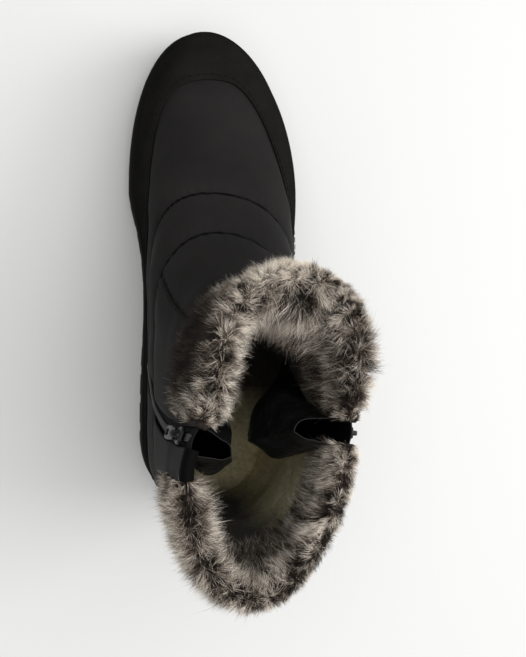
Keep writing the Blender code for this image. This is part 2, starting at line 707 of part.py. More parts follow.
def main():
    clear_scene()
    boot = bpy.data.collections.new("winter_boot")
    cutters = bpy.data.collections.new("cutters")
    for collection in (boot, cutters):
        bpy.context.scene.collection.children.link(collection)
    make_outsole(boot)
    make_insole(boot)
    make_upper(boot)
    make_mudguard(boot)
    make_cuff("cuff_front", FRONT_COLUMNS, SIDE_COLUMNS, boot)
    make_cuff("cuff_back", BACK_COLUMNS, 2 * SIDE_COLUMNS, boot)
    for word, side in (("lateral", 1), ("medial", -1)):
        make_gusset("gusset_" + word, side, boot)
        make_zip("zip_" + word, side, boot)
        make_slider("slider_" + word, side, boot, cutters)
        make_pull_tab("pull_tab_" + word, side, boot)


main()
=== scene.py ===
# %% [markdown]
# # A winter boot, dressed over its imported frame
# This lesson puts the looks on an ankle-high winter boot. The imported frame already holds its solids, and
# each soft piece here is worked out with numpy on the same last, so every seam, strand and tooth sits on
# the frame.

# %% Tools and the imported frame
import math
from typing import NamedTuple

import bpy
import numpy as np
from mathutils import Matrix, Vector


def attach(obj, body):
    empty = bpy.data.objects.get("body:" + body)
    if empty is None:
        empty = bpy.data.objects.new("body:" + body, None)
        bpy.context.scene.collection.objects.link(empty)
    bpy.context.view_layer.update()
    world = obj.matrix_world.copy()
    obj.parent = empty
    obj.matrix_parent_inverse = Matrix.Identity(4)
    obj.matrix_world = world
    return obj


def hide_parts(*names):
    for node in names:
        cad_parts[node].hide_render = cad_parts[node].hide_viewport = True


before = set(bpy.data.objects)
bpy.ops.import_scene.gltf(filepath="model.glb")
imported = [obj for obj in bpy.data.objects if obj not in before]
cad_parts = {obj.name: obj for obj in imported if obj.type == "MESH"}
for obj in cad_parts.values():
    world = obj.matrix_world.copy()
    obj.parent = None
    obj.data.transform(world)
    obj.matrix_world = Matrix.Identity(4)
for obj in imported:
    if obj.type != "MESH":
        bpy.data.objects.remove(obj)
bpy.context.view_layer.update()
MM = 0.001

# %% [markdown]
# ## Camera
# The boot is seen from almost straight above, from over its inner side, with the toe at the top of the
# picture. A camera is placed by its point, the way it looks and the way that is up; its three axes are the
# columns of its matrix. The lens is worked out from the focal length in pixels of the 526 by 657 frame.

# %% Camera
CAMERA_POINT = Vector((-0.086, 0.076, 0.560))
LOOK = Vector((0.2220, -0.0181, -0.9749)).normalized()
FRAME_HEIGHT_PX = 657
FOCAL_PX = 889
SENSOR_MM = 36

camera_data = bpy.data.cameras.new("camera")
camera_data.sensor_fit = "VERTICAL"
camera_data.sensor_height = SENSOR_MM
camera_data.lens = SENSOR_MM * FOCAL_PX / FRAME_HEIGHT_PX
camera_data.clip_start = 0.01
camera = bpy.data.objects.new("camera", camera_data)
bpy.context.scene.collection.objects.link(camera)
right = Vector((0, 1, 0)).cross(-LOOK).normalized()
turned = Matrix.Identity(4)
for column, axis in enumerate((right, (-LOOK).cross(right), -LOOK, CAMERA_POINT)):
    turned.col[column][:3] = axis
camera.matrix_world = turned
bpy.context.scene.camera = camera
print("lens", round(camera_data.lens, 1), "mm")

# %% [markdown]
# ## Meshes from arrays
# Every new piece is a grid of points, so one helper turns an array of rows by columns by three into quads.
# It fills Blender's arrays in one go with foreach_set. Patterns that follow the surface get a UV map in
# metres.


# %% Grid helper
def fill_mesh(name, points, faces, uv=None):
    """A mesh from a list of points and an array of faces that all have the same number of corners."""
    mesh = bpy.data.meshes.new(name)
    corners = faces.shape[1]
    mesh.vertices.add(len(points))
    mesh.vertices.foreach_set("co", np.ascontiguousarray(points, np.float32).ravel())
    mesh.loops.add(faces.size)
    mesh.loops.foreach_set("vertex_index", np.ascontiguousarray(faces, np.int32).ravel())
    mesh.polygons.add(len(faces))
    mesh.polygons.foreach_set("loop_start", np.arange(0, faces.size, corners, dtype=np.int32))
    if uv is not None:
        layer = mesh.uv_layers.new(name="UVMap")
        layer.data.foreach_set("uv", np.ascontiguousarray(uv[faces], np.float32).ravel())
    mesh.update(calc_edges=True)
    mesh.shade_smooth()
    return mesh


def grid_faces(rows, columns, closed_rows=False, closed_columns=False):
    """Quads between neighbours of a grid, row by row, joined round where a direction is closed."""
    index = np.arange(rows * columns).reshape(rows, columns)
    if closed_rows:
        index = np.concatenate([index, index[:1]])
    if closed_columns:
        index = np.concatenate([index, index[:, :1]], axis=1)
    return np.stack([index[:-1, :-1], index[:-1, 1:], index[1:, 1:], index[1:, :-1]], axis=-1)


def grid_mesh(name, points, closed_rows=False, closed_columns=False, flip=False):
    """A mesh from a grid of points, with its faces turned over where the grid runs the other way."""
    faces = grid_faces(*points.shape[:2], closed_rows, closed_columns).reshape(-1, 4)
    return fill_mesh(name, points.reshape(-1, 3), faces[:, ::-1] if flip else faces)


def parameter_grid(rows, columns):
    """Two arrays of rows by columns, which spread both lists of values over a grid."""
    return np.meshgrid(rows, columns, indexing="ij")


def add_piece(mesh, material, body, slot, *nodes):
    """Puts a finished mesh in the scene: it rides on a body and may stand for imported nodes."""
    piece = bpy.data.objects.new(mesh.name, mesh)
    mesh.materials.append(material)
    bpy.context.scene.collection.objects.link(piece)
    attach(piece, body)
    if nodes:
        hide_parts(*nodes)
    return piece


def give_thickness(piece, thickness, offset):
    """A sheet becomes a wall. Offset -1 grows it behind its faces and 1 in front of them."""
    wall = piece.modifiers.new("wall", "SOLIDIFY")
    wall.thickness = thickness
    wall.offset = offset


# %% [markdown]
# ## Finishes
# A finish is one Principled shader with its even values set on its own sockets, and a few texture nodes for
# what varies. The helpers keep that to one line a node: a value is set, and a socket is linked.


# %% Node helpers
def new_finish(name, roughness, **sockets):
    """A material with a Principled shader. Extra sockets are given by name, with _ for a space."""
    material = bpy.data.materials.new(name)
    material.use_nodes = True
    shader = material.node_tree.nodes["Principled BSDF"]
    shader.inputs["Roughness"].default_value = roughness
    for key, value in sockets.items():
        shader.inputs[key.replace("_", " ").title().replace("Ior", "IOR")].default_value = value
    return material, material.node_tree, shader


def add_node(tree, kind, inputs=None, **settings):
    """One node with its settings. Each input is a number to set or a socket to link."""
    node = tree.nodes.new("ShaderNode" + kind)
    for key, value in settings.items():
        setattr(node, key, value)
    for key, value in (inputs or {}).items():
        if isinstance(value, bpy.types.NodeSocket):
            tree.links.new(value, node.inputs[key])
        else:
            node.inputs[key].default_value = value
    return node


def ramp(tree, factor, *stops):
    """A colour ramp with stops of (place, colour)."""
    node = add_node(tree, "ValToRGB", {"Fac": factor})
    elements = node.color_ramp.elements
    while len(elements) < len(stops):
        elements.new(0.5)
    for element, (place, colour) in zip(elements, stops):
        element.position = place
        element.color = (*colour, 1.0)
    return node.outputs["Color"]


def paint(tree, shader, factor, *stops):
    """The shader's colour, read off a ramp."""
    tree.links.new(ramp(tree, factor, *stops), shader.inputs["Base Color"])


def noise(tree, where, scale, detail=3.0, roughness=0.55):
    """Cloudy noise about 0.5, with so many clouds to the metre."""
    inputs = {"Vector": where, "Scale": scale, "Detail": detail, "Roughness": roughness}
    return add_node(tree, "TexNoise", inputs).outputs["Fac"]


def mathematics(tree, operation, first, second=0.0):
    """One sum on two values, by Blender's own name for it."""
    return add_node(tree, "Math", {0: first, 1: second}, operation=operation).outputs[0]


def blend(tree, first, second, share):
    """A share of the first value and the rest of the second."""
    rest = mathematics(tree, "MULTIPLY", second, 1 - share)
    return mathematics(tree, "ADD", mathematics(tree, "MULTIPLY", first, share), rest)


def map_range(tree, value, start, end, first, last):
    """A value between start and end stretched to run from first to last, and held beyond both ends."""
    spans = {"Value": value, "From Min": start, "From Max": end, "To Min": first, "To Max": last}
    return add_node(tree, "MapRange", spans).outputs["Result"]


def object_place(tree):
    """The point in the piece's own coordinates, in metres."""
    return add_node(tree, "TexCoord").outputs["Object"]


def bump(tree, shader, height, strength, distance):
    """Fine relief: the normal is tipped by the slope of a height."""
    node = add_node(tree, "Bump", {"Height": height, "Strength": strength, "Distance": distance})
    tree.links.new(node.outputs["Normal"], shader.inputs["Normal"])


# %% [markdown]
# ## The last
# The upper's form is the frame's: thirteen closed loops from the sole's feather line to the rim, each a
# front arc, a back arc and a straight run between them. Turn goes round a loop, 0 at the toe and 1 or -1 at
# the heel, and level goes up through the loops. Every soft piece is a function of these two numbers.


# %% The last as a function of turn and level
class Section(NamedTuple):
    """One loop of the last, in millimetres: front, back, ball, heel, half widths, powers and sag."""

    name: str
    front_x: float
    front_y: float
    front_z: float
    back_x: float
    back_y: float
    back_z: float
    ball_y: float
    lateral: float
    medial: float
    heel_y: float
    heel_lateral: float
    heel_medial: float
    lateral_power: float
    medial_power: float
    back_power: float
    sag: float


SECTIONS = (
    Section("feather", -1, 239.5, 29, 0, -34.5, 34, 148, 53.5, 40.5, 0, 35.0, 35.0, 1.90, 2.20, 2.10, 6),
    Section("toe_wall", -1, 239.0, 40, 0, -37.0, 46, 146, 50.8, 41.0, 0, 37.0, 37.0, 1.90, 2.20, 2.10, 5),
    Section("toe_turn", -1, 233.5, 53, 0, -38.0, 58, 142, 46.5, 40.5, 2, 38.0, 38.0, 1.95, 2.20, 2.10, 4),
    Section("toe_top", -1, 224.0, 62, 0, -38.0, 68, 136, 43.5, 39.5, 4, 38.5, 38.5, 2.05, 2.20, 2.10, 3),
    Section("cap_edge", 0, 205.0, 69, 0, -37.5, 78, 122, 41.5, 38.5, 8, 39.0, 39.0, 2.20, 2.25, 2.10, 1),
    Section("vamp", 0, 180.0, 77, 0, -37.0, 88, 100, 40.0, 38.5, 10, 39.0, 39.0, 2.30, 2.30, 2.10, 0),
    Section("ball_line", 0, 153.0, 89, 0, -36.5, 99, 80, 39.0, 39.0, 10, 38.5, 39.0, 2.30, 2.30, 2.10, 0),
    Section("instep", 1, 128.0, 103, 0, -36.5, 111, 66, 38.5, 39.0, 8, 38.0, 39.0, 2.20, 2.20, 2.10, 0),
    Section("throat", 3, 107.0, 120, 0, -37.5, 125, 56, 37.5, 38.0, 7, 37.5, 39.0, 2.10, 2.10, 2.10, 0),
    Section("ankle", 6, 92.0, 140, -1, -39.5, 142, 50, 36.0, 36.0, 6, 37.0, 39.0, 2.10, 2.10, 2.00, 0),
    Section("shaft", 9, 87.0, 160, -2, -42.5, 160, 48, 34.5, 33.0, 7, 35.5, 39.0, 2.10, 2.10, 1.95, 0),
    Section("cuff", 10, 89.5, 180, -4, -45.0, 178, 50, 33.5, 30.5, 8, 34.5, 38.5, 2.10, 2.10, 1.90, 0),
    Section("rim", 10, 93.5, 198, -5, -46.5, 195, 52, 33.5, 29.0, 10, 33.5, 38.0, 2.15, 2.15, 1.85, 0),
)
TABLE = np.array([row[1:] for row in SECTIONS])
TOP_LEVEL = len(SECTIONS) - 1
WALL = 3 * MM
WAIST_DIP = 6.5
WAIST_SKEW = 0.6
WAIST_EASE = 0.03
WAIST_TOP_LEVEL = 4
FRONT_SHARE = 0.45
BACK_SHARE = 0.72
ZIP_TURN = 0.63
TURN_STEP = 1e-3
LEVEL_STEP = 1e-2


def section_values(level):
    """Every column at these levels: a Catmull-Rom curve through the table's rows."""
    level = np.clip(level, 0.0, TOP_LEVEL)
    low = np.minimum(level.astype(int), TOP_LEVEL - 1)
    share = (level - low)[..., None]
    before, start, end, after = (TABLE[np.clip(low + step, 0, TOP_LEVEL)] for step in (-1, 0, 1, 2))
    square, cube = share**2, share**3
    values = (2 * cube - 3 * square + 1) * start + (3 * square - 2 * cube) * end
    values = values + (cube - 2 * square + share) * (end - before) / 2
    values = values + (cube - square) * (after - start) / 2
    return Section("blend", *np.moveaxis(values, -1, 0))


def last_point(turn, level):
    """A front arc cos^(2/p), sin^(2/p), a straight run eased from ball to heel, and such an arc behind.

    Near the sole the medial run is drawn in by a waist: a sine squared, skewed towards the ball.
    """
    turn, level = np.broadcast_arrays(np.asarray(turn, float), np.asarray(level, float))
    turn = (turn + 1) % 2 - 1
    s = section_values(level)
    lateral_side, share = turn >= 0, np.abs(turn)
    side = np.where(lateral_side, 1.0, -1.0)
    half = np.where(lateral_side, s.lateral, s.medial)
    heel_half = np.where(lateral_side, s.heel_lateral, s.heel_medial)
    front_root = 2 / np.where(lateral_side, s.lateral_power, s.medial_power)
    back_root = 2 / s.back_power
    front_angle = np.clip(share / FRONT_SHARE, 0, 1) * math.pi / 2
    back_angle = np.clip((1 - share) / (1 - BACK_SHARE), 0, 1) * math.pi / 2
    middle = np.clip((share - FRONT_SHARE) / (BACK_SHARE - FRONT_SHARE), 0, 1)
    ease = middle**2 * (3 - 2 * middle)
    front_reach = np.clip(np.cos(front_angle), 0, 1) ** front_root
    back_reach = np.clip(np.cos(back_angle), 0, 1) ** back_root
    along = s.ball_y + (s.heel_y - s.ball_y) * middle
    along = along + (s.front_y - s.ball_y) * front_reach - (s.heel_y - s.back_y) * back_reach
    waist = np.sin(math.pi * middle * (middle + WAIST_EASE) ** (WAIST_SKEW - 1)) ** 2
    dip = np.where(lateral_side, 0.0, WAIST_DIP) * np.clip(1 - level / WAIST_TOP_LEVEL, 0, 1) * waist
    across = half + (heel_half - half) * ease - dip
    across = across * np.sin(front_angle) ** front_root * np.sin(back_angle) ** back_root
    share_y = (along - s.back_y) / (s.front_y - s.back_y)
    x = s.back_x + (s.front_x - s.back_x) * share_y + side * across
    sag = s.sag * np.sin(math.pi * np.clip(share_y, 0, 1) ** 1.45)
    z = s.back_z + (s.front_z - s.back_z) * share_y - sag
    return np.stack([x, along, z], axis=-1) * MM


def unit(vectors):
    """Vectors over their own lengths."""
    return vectors / np.linalg.norm(vectors, axis=-1, keepdims=True)


def wall_frame(turn, level):
    """Point on the wall, unit direction out of it and unit direction up it, by small differences."""
    level = np.asarray(level, float)
    around = last_point(turn + TURN_STEP, level) - last_point(turn - TURN_STEP, level)
    high = np.minimum(level + LEVEL_STEP, TOP_LEVEL)
    low = np.maximum(level - LEVEL_STEP, 0)
    up = unit(last_point(turn, high) - last_point(turn, low))
    return last_point(turn, level), unit(np.cross(up, around)), up


def wall_point(turn, level, out=0.0, up=0.0):
    """A point that stands out from the wall, or above it past the rim."""
    point, outward, upward = wall_frame(turn, level)
    return point + outward * np.asarray(out)[..., None] + upward * np.asarray(up)[..., None]


def metres_per_turn(turn, level):
    """How far the point moves for a whole turn at this place, from a small difference."""
    run = last_point(turn + TURN_STEP, level) - last_point(turn - TURN_STEP, level)
    return np.linalg.norm(run, axis=-1) / (2 * TURN_STEP)


def metres_per_level(turn, level):
    """How far the point moves for a whole level at this place, from a small difference."""
    high = np.minimum(level + LEVEL_STEP, TOP_LEVEL)
    low = np.maximum(level - LEVEL_STEP, 0)
    return np.linalg.norm(last_point(turn, high) - last_point(turn, low), axis=-1) / (high - low)


def bell(value, middle, width):
    """1 at the middle, falling off on both sides as e to the minus square of the distance over the width."""
    return np.exp(-(((value - middle) / width) ** 2))


def smooth_step(value, start, end):
    """0 up to the start, 1 from the end on, and 3 s^2 - 2 s^3 between."""
    share = np.clip((value - start) / (end - start), 0, 1)
    return share**2 * (3 - 2 * share)


print("last:", len(SECTIONS), "sections, rim height", last_point(0.0, TOP_LEVEL)[2] / MM, "mm")

# %% [markdown]
# ## Quilted nylon upper
# The real upper is a thin padded nylon shell with two arched rows of quilting over the vamp and a sewn side
# seam. It is one grid over the whole last, moved in and out by its distance from each seam: a narrow valley
# at the thread, a soft pillow between, and small puckers across it. The grid leaves a slot open for each
# zip.

# %% Seams as lines over the last
SLOT_HALF = 5.5 * MM
ZIP_FOOT_LEVEL = 3.6
VAMP_SEAM_LEVEL = 6.55
VAMP_SEAM_TILT = 0.84
VAMP_SEAM_DROP = 6.4
THROAT_SEAM_LEVEL = 7.53
THROAT_SEAM_TILT = 1.6
THROAT_SEAM_DROP = 1.5
THROAT_HEEL_LEVEL = 5.7
SIDE_SEAM_TURN = 0.335
SIDE_SEAM_LEVEL = 6.7
SIDE_SEAM_LEAN = 0.018
MUDGUARD_TOE_LEVEL = 4.0
MUDGUARD_LATERAL_RISE = 0.78
MUDGUARD_MEDIAL_DIP = 0.52
MUDGUARD_DIP_TURN = -0.26
MUDGUARD_HEEL_LEVEL = 2.1


def vamp_seam(turn):
    """Level of the lower quilting row: a parabola, a little higher on the lateral side."""
    return VAMP_SEAM_LEVEL + VAMP_SEAM_TILT * turn - VAMP_SEAM_DROP * turn**2


def throat_seam(turn):
    """Level of the upper quilting row: a parabola, and behind the zips both sides meet at the heel."""
    front = THROAT_SEAM_LEVEL + THROAT_SEAM_TILT * np.clip(turn, -0.5, 0.16) - THROAT_SEAM_DROP * turn**2
    return front + (THROAT_HEEL_LEVEL - front) * smooth_step(np.abs(turn), 0.6, 1.0)


def row_distance(turn, level, seam):
    """Distance to a seam given as a level: the difference of levels over the length of its slope."""
    slope = (seam(turn + TURN_STEP) - seam(turn - TURN_STEP)) / (2 * TURN_STEP)
    steepness = np.hypot(1 / metres_per_level(turn, level), slope / metres_per_turn(turn, level))
    return (level - seam(turn)) / steepness


def side_seam(level):
    """Turn of the sewn side seam, on both sides, from the upper quilting row to the fur."""
    return SIDE_SEAM_TURN - SIDE_SEAM_LEAN * (level - SIDE_SEAM_LEVEL)


def side_distance(turn, level):
    """Distance to the side seam, taken out of reach below the upper quilting row."""
    away = (np.abs(turn) - side_seam(level)) * metres_per_turn(turn, level)
    below = np.clip(throat_seam(turn) - level, 0, None) * metres_per_level(turn, level)
    return np.hypot(away, 3 * below) * np.where(away < 0, -1, 1)


def mudguard_level(turn):
    """Top edge of the mudguard: raised at the lateral ball, dipped at the medial ball, low at the heel."""
    rise = MUDGUARD_LATERAL_RISE * smooth_step(turn, 0.03, 0.3)
    dip_width = np.where(turn > MUDGUARD_DIP_TURN, 0.15, 0.095)
    front = MUDGUARD_TOE_LEVEL + rise - MUDGUARD_MEDIAL_DIP * bell(turn, MUDGUARD_DIP_TURN, dip_width)
    return front + (MUDGUARD_HEEL_LEVEL - front) * smooth_step(np.abs(turn), 0.42, 0.62)


def seam_distances(turn, level):
    """Distances to the lower and upper quilting row and to the side seam."""
    return (
        row_distance(turn, level, vamp_seam),
        row_distance(turn, level, throat_seam),
        side_distance(turn, level),
    )


# %% Upper grid with its zip slots
UPPER_ROWS = 120
FRONT_COLUMNS = 78
BACK_COLUMNS = 40
SIDE_COLUMNS = FRONT_COLUMNS + 1 + BACK_COLUMNS
NYLON_THICK = 0.9 * MM
UNEVENNESS = 0.35 * MM
PILLOW_HEIGHT = 1.3 * MM
PILLOW_EDGE = 9 * MM
VALLEY_DEPTH = 1.1 * MM
VALLEY_HALF = 1.5 * MM
PUCKER_HEIGHT = 0.16 * MM
PUCKER_PITCH = 7 * MM
FOLD_HEIGHT = 0.7 * MM
FOLD_LEVEL = 7.6
FOLD_PITCH = 0.75
UV_TURN = 0.30
UV_LEVEL = 0.021


def slot_half_turn(level, width):
    """Half a slot's width as a share of a turn."""
    return width / metres_per_turn(ZIP_TURN, level)


def slotted_grid(level, width=SLOT_HALF):
    """Turns of a grid whose columns meet the edges of both zip slots, from heel round the toe to heel."""
    signed = np.arange(-SIDE_COLUMNS, SIDE_COLUMNS)[None, :]
    count = np.abs(signed)
    half = slot_half_turn(level, width)[:, None]
    front = count / FRONT_COLUMNS * (ZIP_TURN - half)
    back = ZIP_TURN + half + (count - FRONT_COLUMNS - 1) / BACK_COLUMNS * (1 - ZIP_TURN - half)
    return np.sign(signed) * np.where(count <= FRONT_COLUMNS, front, back)


def slotted_faces(level):
    """Quads of such a grid, without the cells of the zip slots."""
    faces = grid_faces(len(level), 2 * SIDE_COLUMNS, closed_columns=True)
    slot_columns = (SIDE_COLUMNS + FRONT_COLUMNS, SIDE_COLUMNS - FRONT_COLUMNS - 1)
    keep = np.ones(faces.shape[:2], bool)
    for column in slot_columns:
        keep[level[:-1] >= ZIP_FOOT_LEVEL - 1e-6, column] = False
    return faces[keep]


def soft_waves(point, seed, count=7, shortest=18 * MM, longest=70 * MM):
    """Gentle unevenness: a sum of sine waves of mixed lengths and directions, about -1 to 1."""
    pick = np.random.default_rng(seed)
    total = np.zeros(point.shape[:-1])
    for _ in range(count):
        direction = unit(pick.normal(size=3))
        length = pick.uniform(shortest, longest)
        total += np.sin(point @ direction * 2 * math.pi / length + pick.uniform(0, 2 * math.pi))
    return total / math.sqrt(count)


def upper_relief(turn, level):
    """How far the padded nylon stands from the last, as a sum of bells and waves over the seam distances.

    Pillows rise between the seams, valleys lie on them with puckers beside, and folds cross the ankle.
    """
    point = last_point(turn, level)
    relief = UNEVENNESS * soft_waves(point, 3)
    run = turn * metres_per_turn(turn, level)
    pucker = PUCKER_HEIGHT * np.sin(run * 2 * math.pi / PUCKER_PITCH + 2 * soft_waves(point, 5))
    pillow = np.ones(turn.shape)
    for distance in seam_distances(turn, level):
        pillow = np.minimum(pillow, 1 - bell(distance, 0, PILLOW_EDGE))
        relief -= VALLEY_DEPTH * bell(distance, 0, VALLEY_HALF)
        relief += pucker * bell(np.abs(distance), 3.5 * MM, 3 * MM)
    relief += PILLOW_HEIGHT * pillow
    fold = np.sin((level - FOLD_LEVEL) * 2 * math.pi / FOLD_PITCH + 1.3 * soft_waves(point, 8))
    ankle = smooth_step(level, FOLD_LEVEL, 8.4) * smooth_step(-level, -9.8, -9.0) * bell(turn, 0, 0.3)
    relief += FOLD_HEIGHT * fold * ankle
    above = (level - mudguard_level(turn)) * metres_per_level(turn, level)
    return relief * smooth_step(above, -1 * MM, 9 * MM)


upper_level = np.linspace(0, TOP_LEVEL - 0.05, UPPER_ROWS + 1)
upper_level[np.argmin(np.abs(upper_level - ZIP_FOOT_LEVEL))] = ZIP_FOOT_LEVEL
upper_turn = slotted_grid(upper_level)
level_grid = np.broadcast_to(upper_level[:, None], upper_turn.shape)
upper_points = wall_point(upper_turn, level_grid, upper_relief(upper_turn, level_grid))
upper_uv = np.stack([upper_turn * UV_TURN, level_grid * UV_LEVEL], axis=-1).reshape(-1, 2)
upper_faces = slotted_faces(upper_level)[:, ::-1]
upper_mesh = fill_mesh("upper_nylon", upper_points.reshape(-1, 3), upper_faces, upper_uv)
seam_grid = np.stack(seam_distances(upper_turn, level_grid), axis=-1).astype(np.float32)
upper_mesh.attributes.new("seams", "FLOAT_VECTOR", "POINT").data.foreach_set("vector", seam_grid.ravel())
print("upper:", len(upper_mesh.polygons), "quads")

# %% Nylon finish
# A satin weave: two crossed waves on the UV map for the yarns, clouds of uneven dye, a dark thread line.
nylon, tree, shader = new_finish(
    "nylon", 0.6, specular_ior_level=0.03, sheen_weight=0.01, sheen_roughness=0.4
)
place = object_place(tree)
seams = add_node(tree, "Attribute", attribute_name="seams").outputs["Vector"]
apart = add_node(tree, "SeparateXYZ", {"Vector": seams}).outputs
nearest = mathematics(tree, "ABSOLUTE", apart["X"])
for axis in "YZ":
    nearest = mathematics(tree, "MINIMUM", nearest, mathematics(tree, "ABSOLUTE", apart[axis]))
thread = map_range(tree, nearest, 0.35 * MM, 0.9 * MM, 1, 0)
cloud = noise(tree, place, 24.0, 4.0)
cloth_colour = ramp(tree, cloud, (0.3, (0.0155, 0.0145, 0.0144)), (0.75, (0.0225, 0.0210, 0.0206)))
layers = {"Factor": thread, "A": cloth_colour, "B": (0.003, 0.003, 0.003, 1)}
mixed = add_node(tree, "Mix", layers, data_type="RGBA")
tree.links.new(mixed.outputs["Result"], shader.inputs["Base Color"])
yarn_place = add_node(tree, "TexCoord").outputs["UV"]
waves = {"Vector": yarn_place, "Scale": 420.0, "Distortion": 0.6}
warp, weft = (add_node(tree, "TexWave", waves, bands_direction=axis) for axis in "XY")
yarn = mathematics(tree, "MULTIPLY", warp.outputs["Fac"], weft.outputs["Fac"])
grain = mathematics(tree, "ADD", mathematics(tree, "MULTIPLY", yarn, 0.35), noise(tree, place, 900.0, 2.0))
bump(tree, shader, grain, 0.16, 0.0004)
upper = add_piece(upper_mesh, nylon, "boot", "nylon", "upper")
give_thickness(upper, NYLON_THICK, -1)
print("nylon:", len(tree.nodes), "nodes")

# %% [markdown]
# ## Fleece lining and insole
# Inside, cream fleece covers the wall and the footbed. It is the same grid set in by the wall's thickness
# and made uneven, with a soft, sheeny finish, and painted shade darkens it towards the toe and in the heel,
# where the inside of the boot lies in shadow.

# %% Lining grid
LINING_SLOT = 9.5 * MM
LINING_TOP_LEVEL = 11.2
LINING_ROWS = 60
LINING_THICK = 0.8 * MM
lining_level = np.linspace(0.0, LINING_TOP_LEVEL, LINING_ROWS)
lining_level[np.argmin(np.abs(lining_level - ZIP_FOOT_LEVEL))] = ZIP_FOOT_LEVEL
lining_turn = slotted_grid(lining_level, LINING_SLOT)
lining_grid = np.broadcast_to(lining_level[:, None], lining_turn.shape)
lining_base = last_point(lining_turn, lining_grid)
lining_depth = -(WALL + 0.4 * MM * soft_waves(lining_base, 11, 9, 8 * MM, 30 * MM))
lining_points = wall_point(lining_turn, lining_grid, lining_depth)
lining_mesh = fill_mesh("lining_fleece", lining_points.reshape(-1, 3), slotted_faces(lining_level))

fleece, tree, shader = new_finish(
    "fleece", 0.95, specular_ior_level=0.1, sheen_weight=0.08, sheen_roughness=0.7
)
place = object_place(tree)
tuft = noise(tree, place, 420.0, 4.0, 0.7)
shade = blend(tree, tuft, noise(tree, place, 40.0), 0.6)
lengthwise = add_node(tree, "SeparateXYZ", {"Vector": place}).outputs["Y"]
# Painted shade: the tufts' tone is darkened towards the toe and at the heel, where the boot's inside lies in
# shadow.
toe_painted_shade = map_range(tree, lengthwise, -4 * MM, 32 * MM, 1.0, 0.1)
heel_painted_shade = map_range(tree, lengthwise, -34 * MM, -21 * MM, 0.05, 1.0)
ramp_factor = mathematics(tree, "MULTIPLY", shade, mathematics(tree, "MULTIPLY", toe_painted_shade, heel_painted_shade))
paint(tree, shader, ramp_factor, (0.05, (0.03, 0.027, 0.018)), (0.55, (0.82, 0.73, 0.44)))
bump(tree, shader, tuft, 0.7, 0.0015)
lining = add_piece(lining_mesh, fleece, "boot", "fleece")
give_thickness(lining, LINING_THICK, -1)


# %% Insole
def feather_edge(turn, out):
    """The feather line moved outwards in its own level."""
    step = 1e-4
    run = last_point(turn + step, 0.0) - last_point(turn - step, 0.0)
    outward = np.stack([-run[..., 1], run[..., 0], 0 * run[..., 0]], axis=-1)
    return last_point(turn, 0.0) + unit(outward) * np.asarray(out)[..., None]


def between_edges(turn, cross, out):
    """Points between the medial edge, at cross -1, and the lateral edge, at cross 1, of one station."""
    turn, out = turn + 0 * cross, out + 0 * turn * cross
    medial, lateral = feather_edge(-turn, out), feather_edge(turn, out)
    return medial + (lateral - medial) * ((1 + cross) / 2)[..., None]


INSOLE_STATIONS = 90
INSOLE_STEPS = 25
INSOLE_INSET = 1.6 * MM
insole_turn = np.linspace(0, 1, INSOLE_STATIONS)[:, None]
insole_steps = np.linspace(1, -1, INSOLE_STEPS)
insole_cross = np.concatenate([insole_steps, -insole_steps])[None, :]
insole_upside = np.repeat([1.0, 0.0], INSOLE_STEPS)[None, :]
insole_edge = np.clip((1 - np.abs(insole_cross)) / 0.12, 0, 1) ** 0.5
insole_points = between_edges(insole_turn, insole_cross, -INSOLE_INSET)
insole_lift = (1.2 + 4.0 * insole_edge - 0.8 * (1 - np.abs(insole_cross))) * MM
insole_waves = 0.5 * MM * soft_waves(insole_points, 14, 9, 10 * MM, 40 * MM)
insole_points[..., 2] += (insole_lift + insole_waves) * insole_upside - 0.4 * MM
insole_mesh = grid_mesh("insole_fleece", insole_points, closed_columns=True)
add_piece(insole_mesh, fleece, "boot", "fleece", "insole")
print("lining and insole:", len(lining_mesh.polygons) + len(insole_mesh.polygons), "quads")

# %% [markdown]
# ## Mudguard
# A matte overlay, cut like a toe cap and running back along both sides. It is a thin band: one rounded
# profile, up its outside, over its top edge and down its back, carried round the last.

# %% Mudguard band
MUDGUARD_GAP = 0.4 * MM
MUDGUARD_THICK = 1.4 * MM
MUDGUARD_FOOT_LEVEL = 0.02
MUDGUARD_COLUMNS = 260
MUDGUARD_ROWS = 34
MUDGUARD_RIPPLE = 0.18 * MM
guard_turn = np.linspace(-1, 1, MUDGUARD_COLUMNS, endpoint=False)[:, None]
outer_rise = np.linspace(0, 1, MUDGUARD_ROWS) ** 0.9
edge_angle = np.linspace(math.pi / 2, -math.pi / 2, 9)[1:-1]
face_on, face_off = np.ones(MUDGUARD_ROWS), np.zeros(MUDGUARD_ROWS)
edge_up = np.cos(edge_angle) * MUDGUARD_THICK / 2
guard_rise = np.concatenate([outer_rise, np.ones(len(edge_angle)), outer_rise[::-1]])[None, :]
round_out = np.concatenate([face_on, (1 + np.sin(edge_angle)) / 2, face_off])[None, :]
round_up = np.concatenate([face_off, edge_up, face_off])[None, :]
guard_level = MUDGUARD_FOOT_LEVEL + (mudguard_level(guard_turn) - MUDGUARD_FOOT_LEVEL) * guard_rise
guard_ripple = MUDGUARD_RIPPLE * soft_waves(last_point(guard_turn, guard_level), 21)
tuck = 1 - 0.35 * bell(guard_rise, 1, 0.05)
guard_stand = MUDGUARD_GAP + (MUDGUARD_THICK * tuck + guard_ripple) * round_out
guard_points = wall_point(guard_turn + 0 * guard_rise, guard_level, guard_stand, round_up + 0 * guard_turn)
guard_mesh = grid_mesh("mudguard_suede", guard_points, closed_rows=True, closed_columns=True)
print("mudguard:", len(guard_mesh.polygons), "quads")

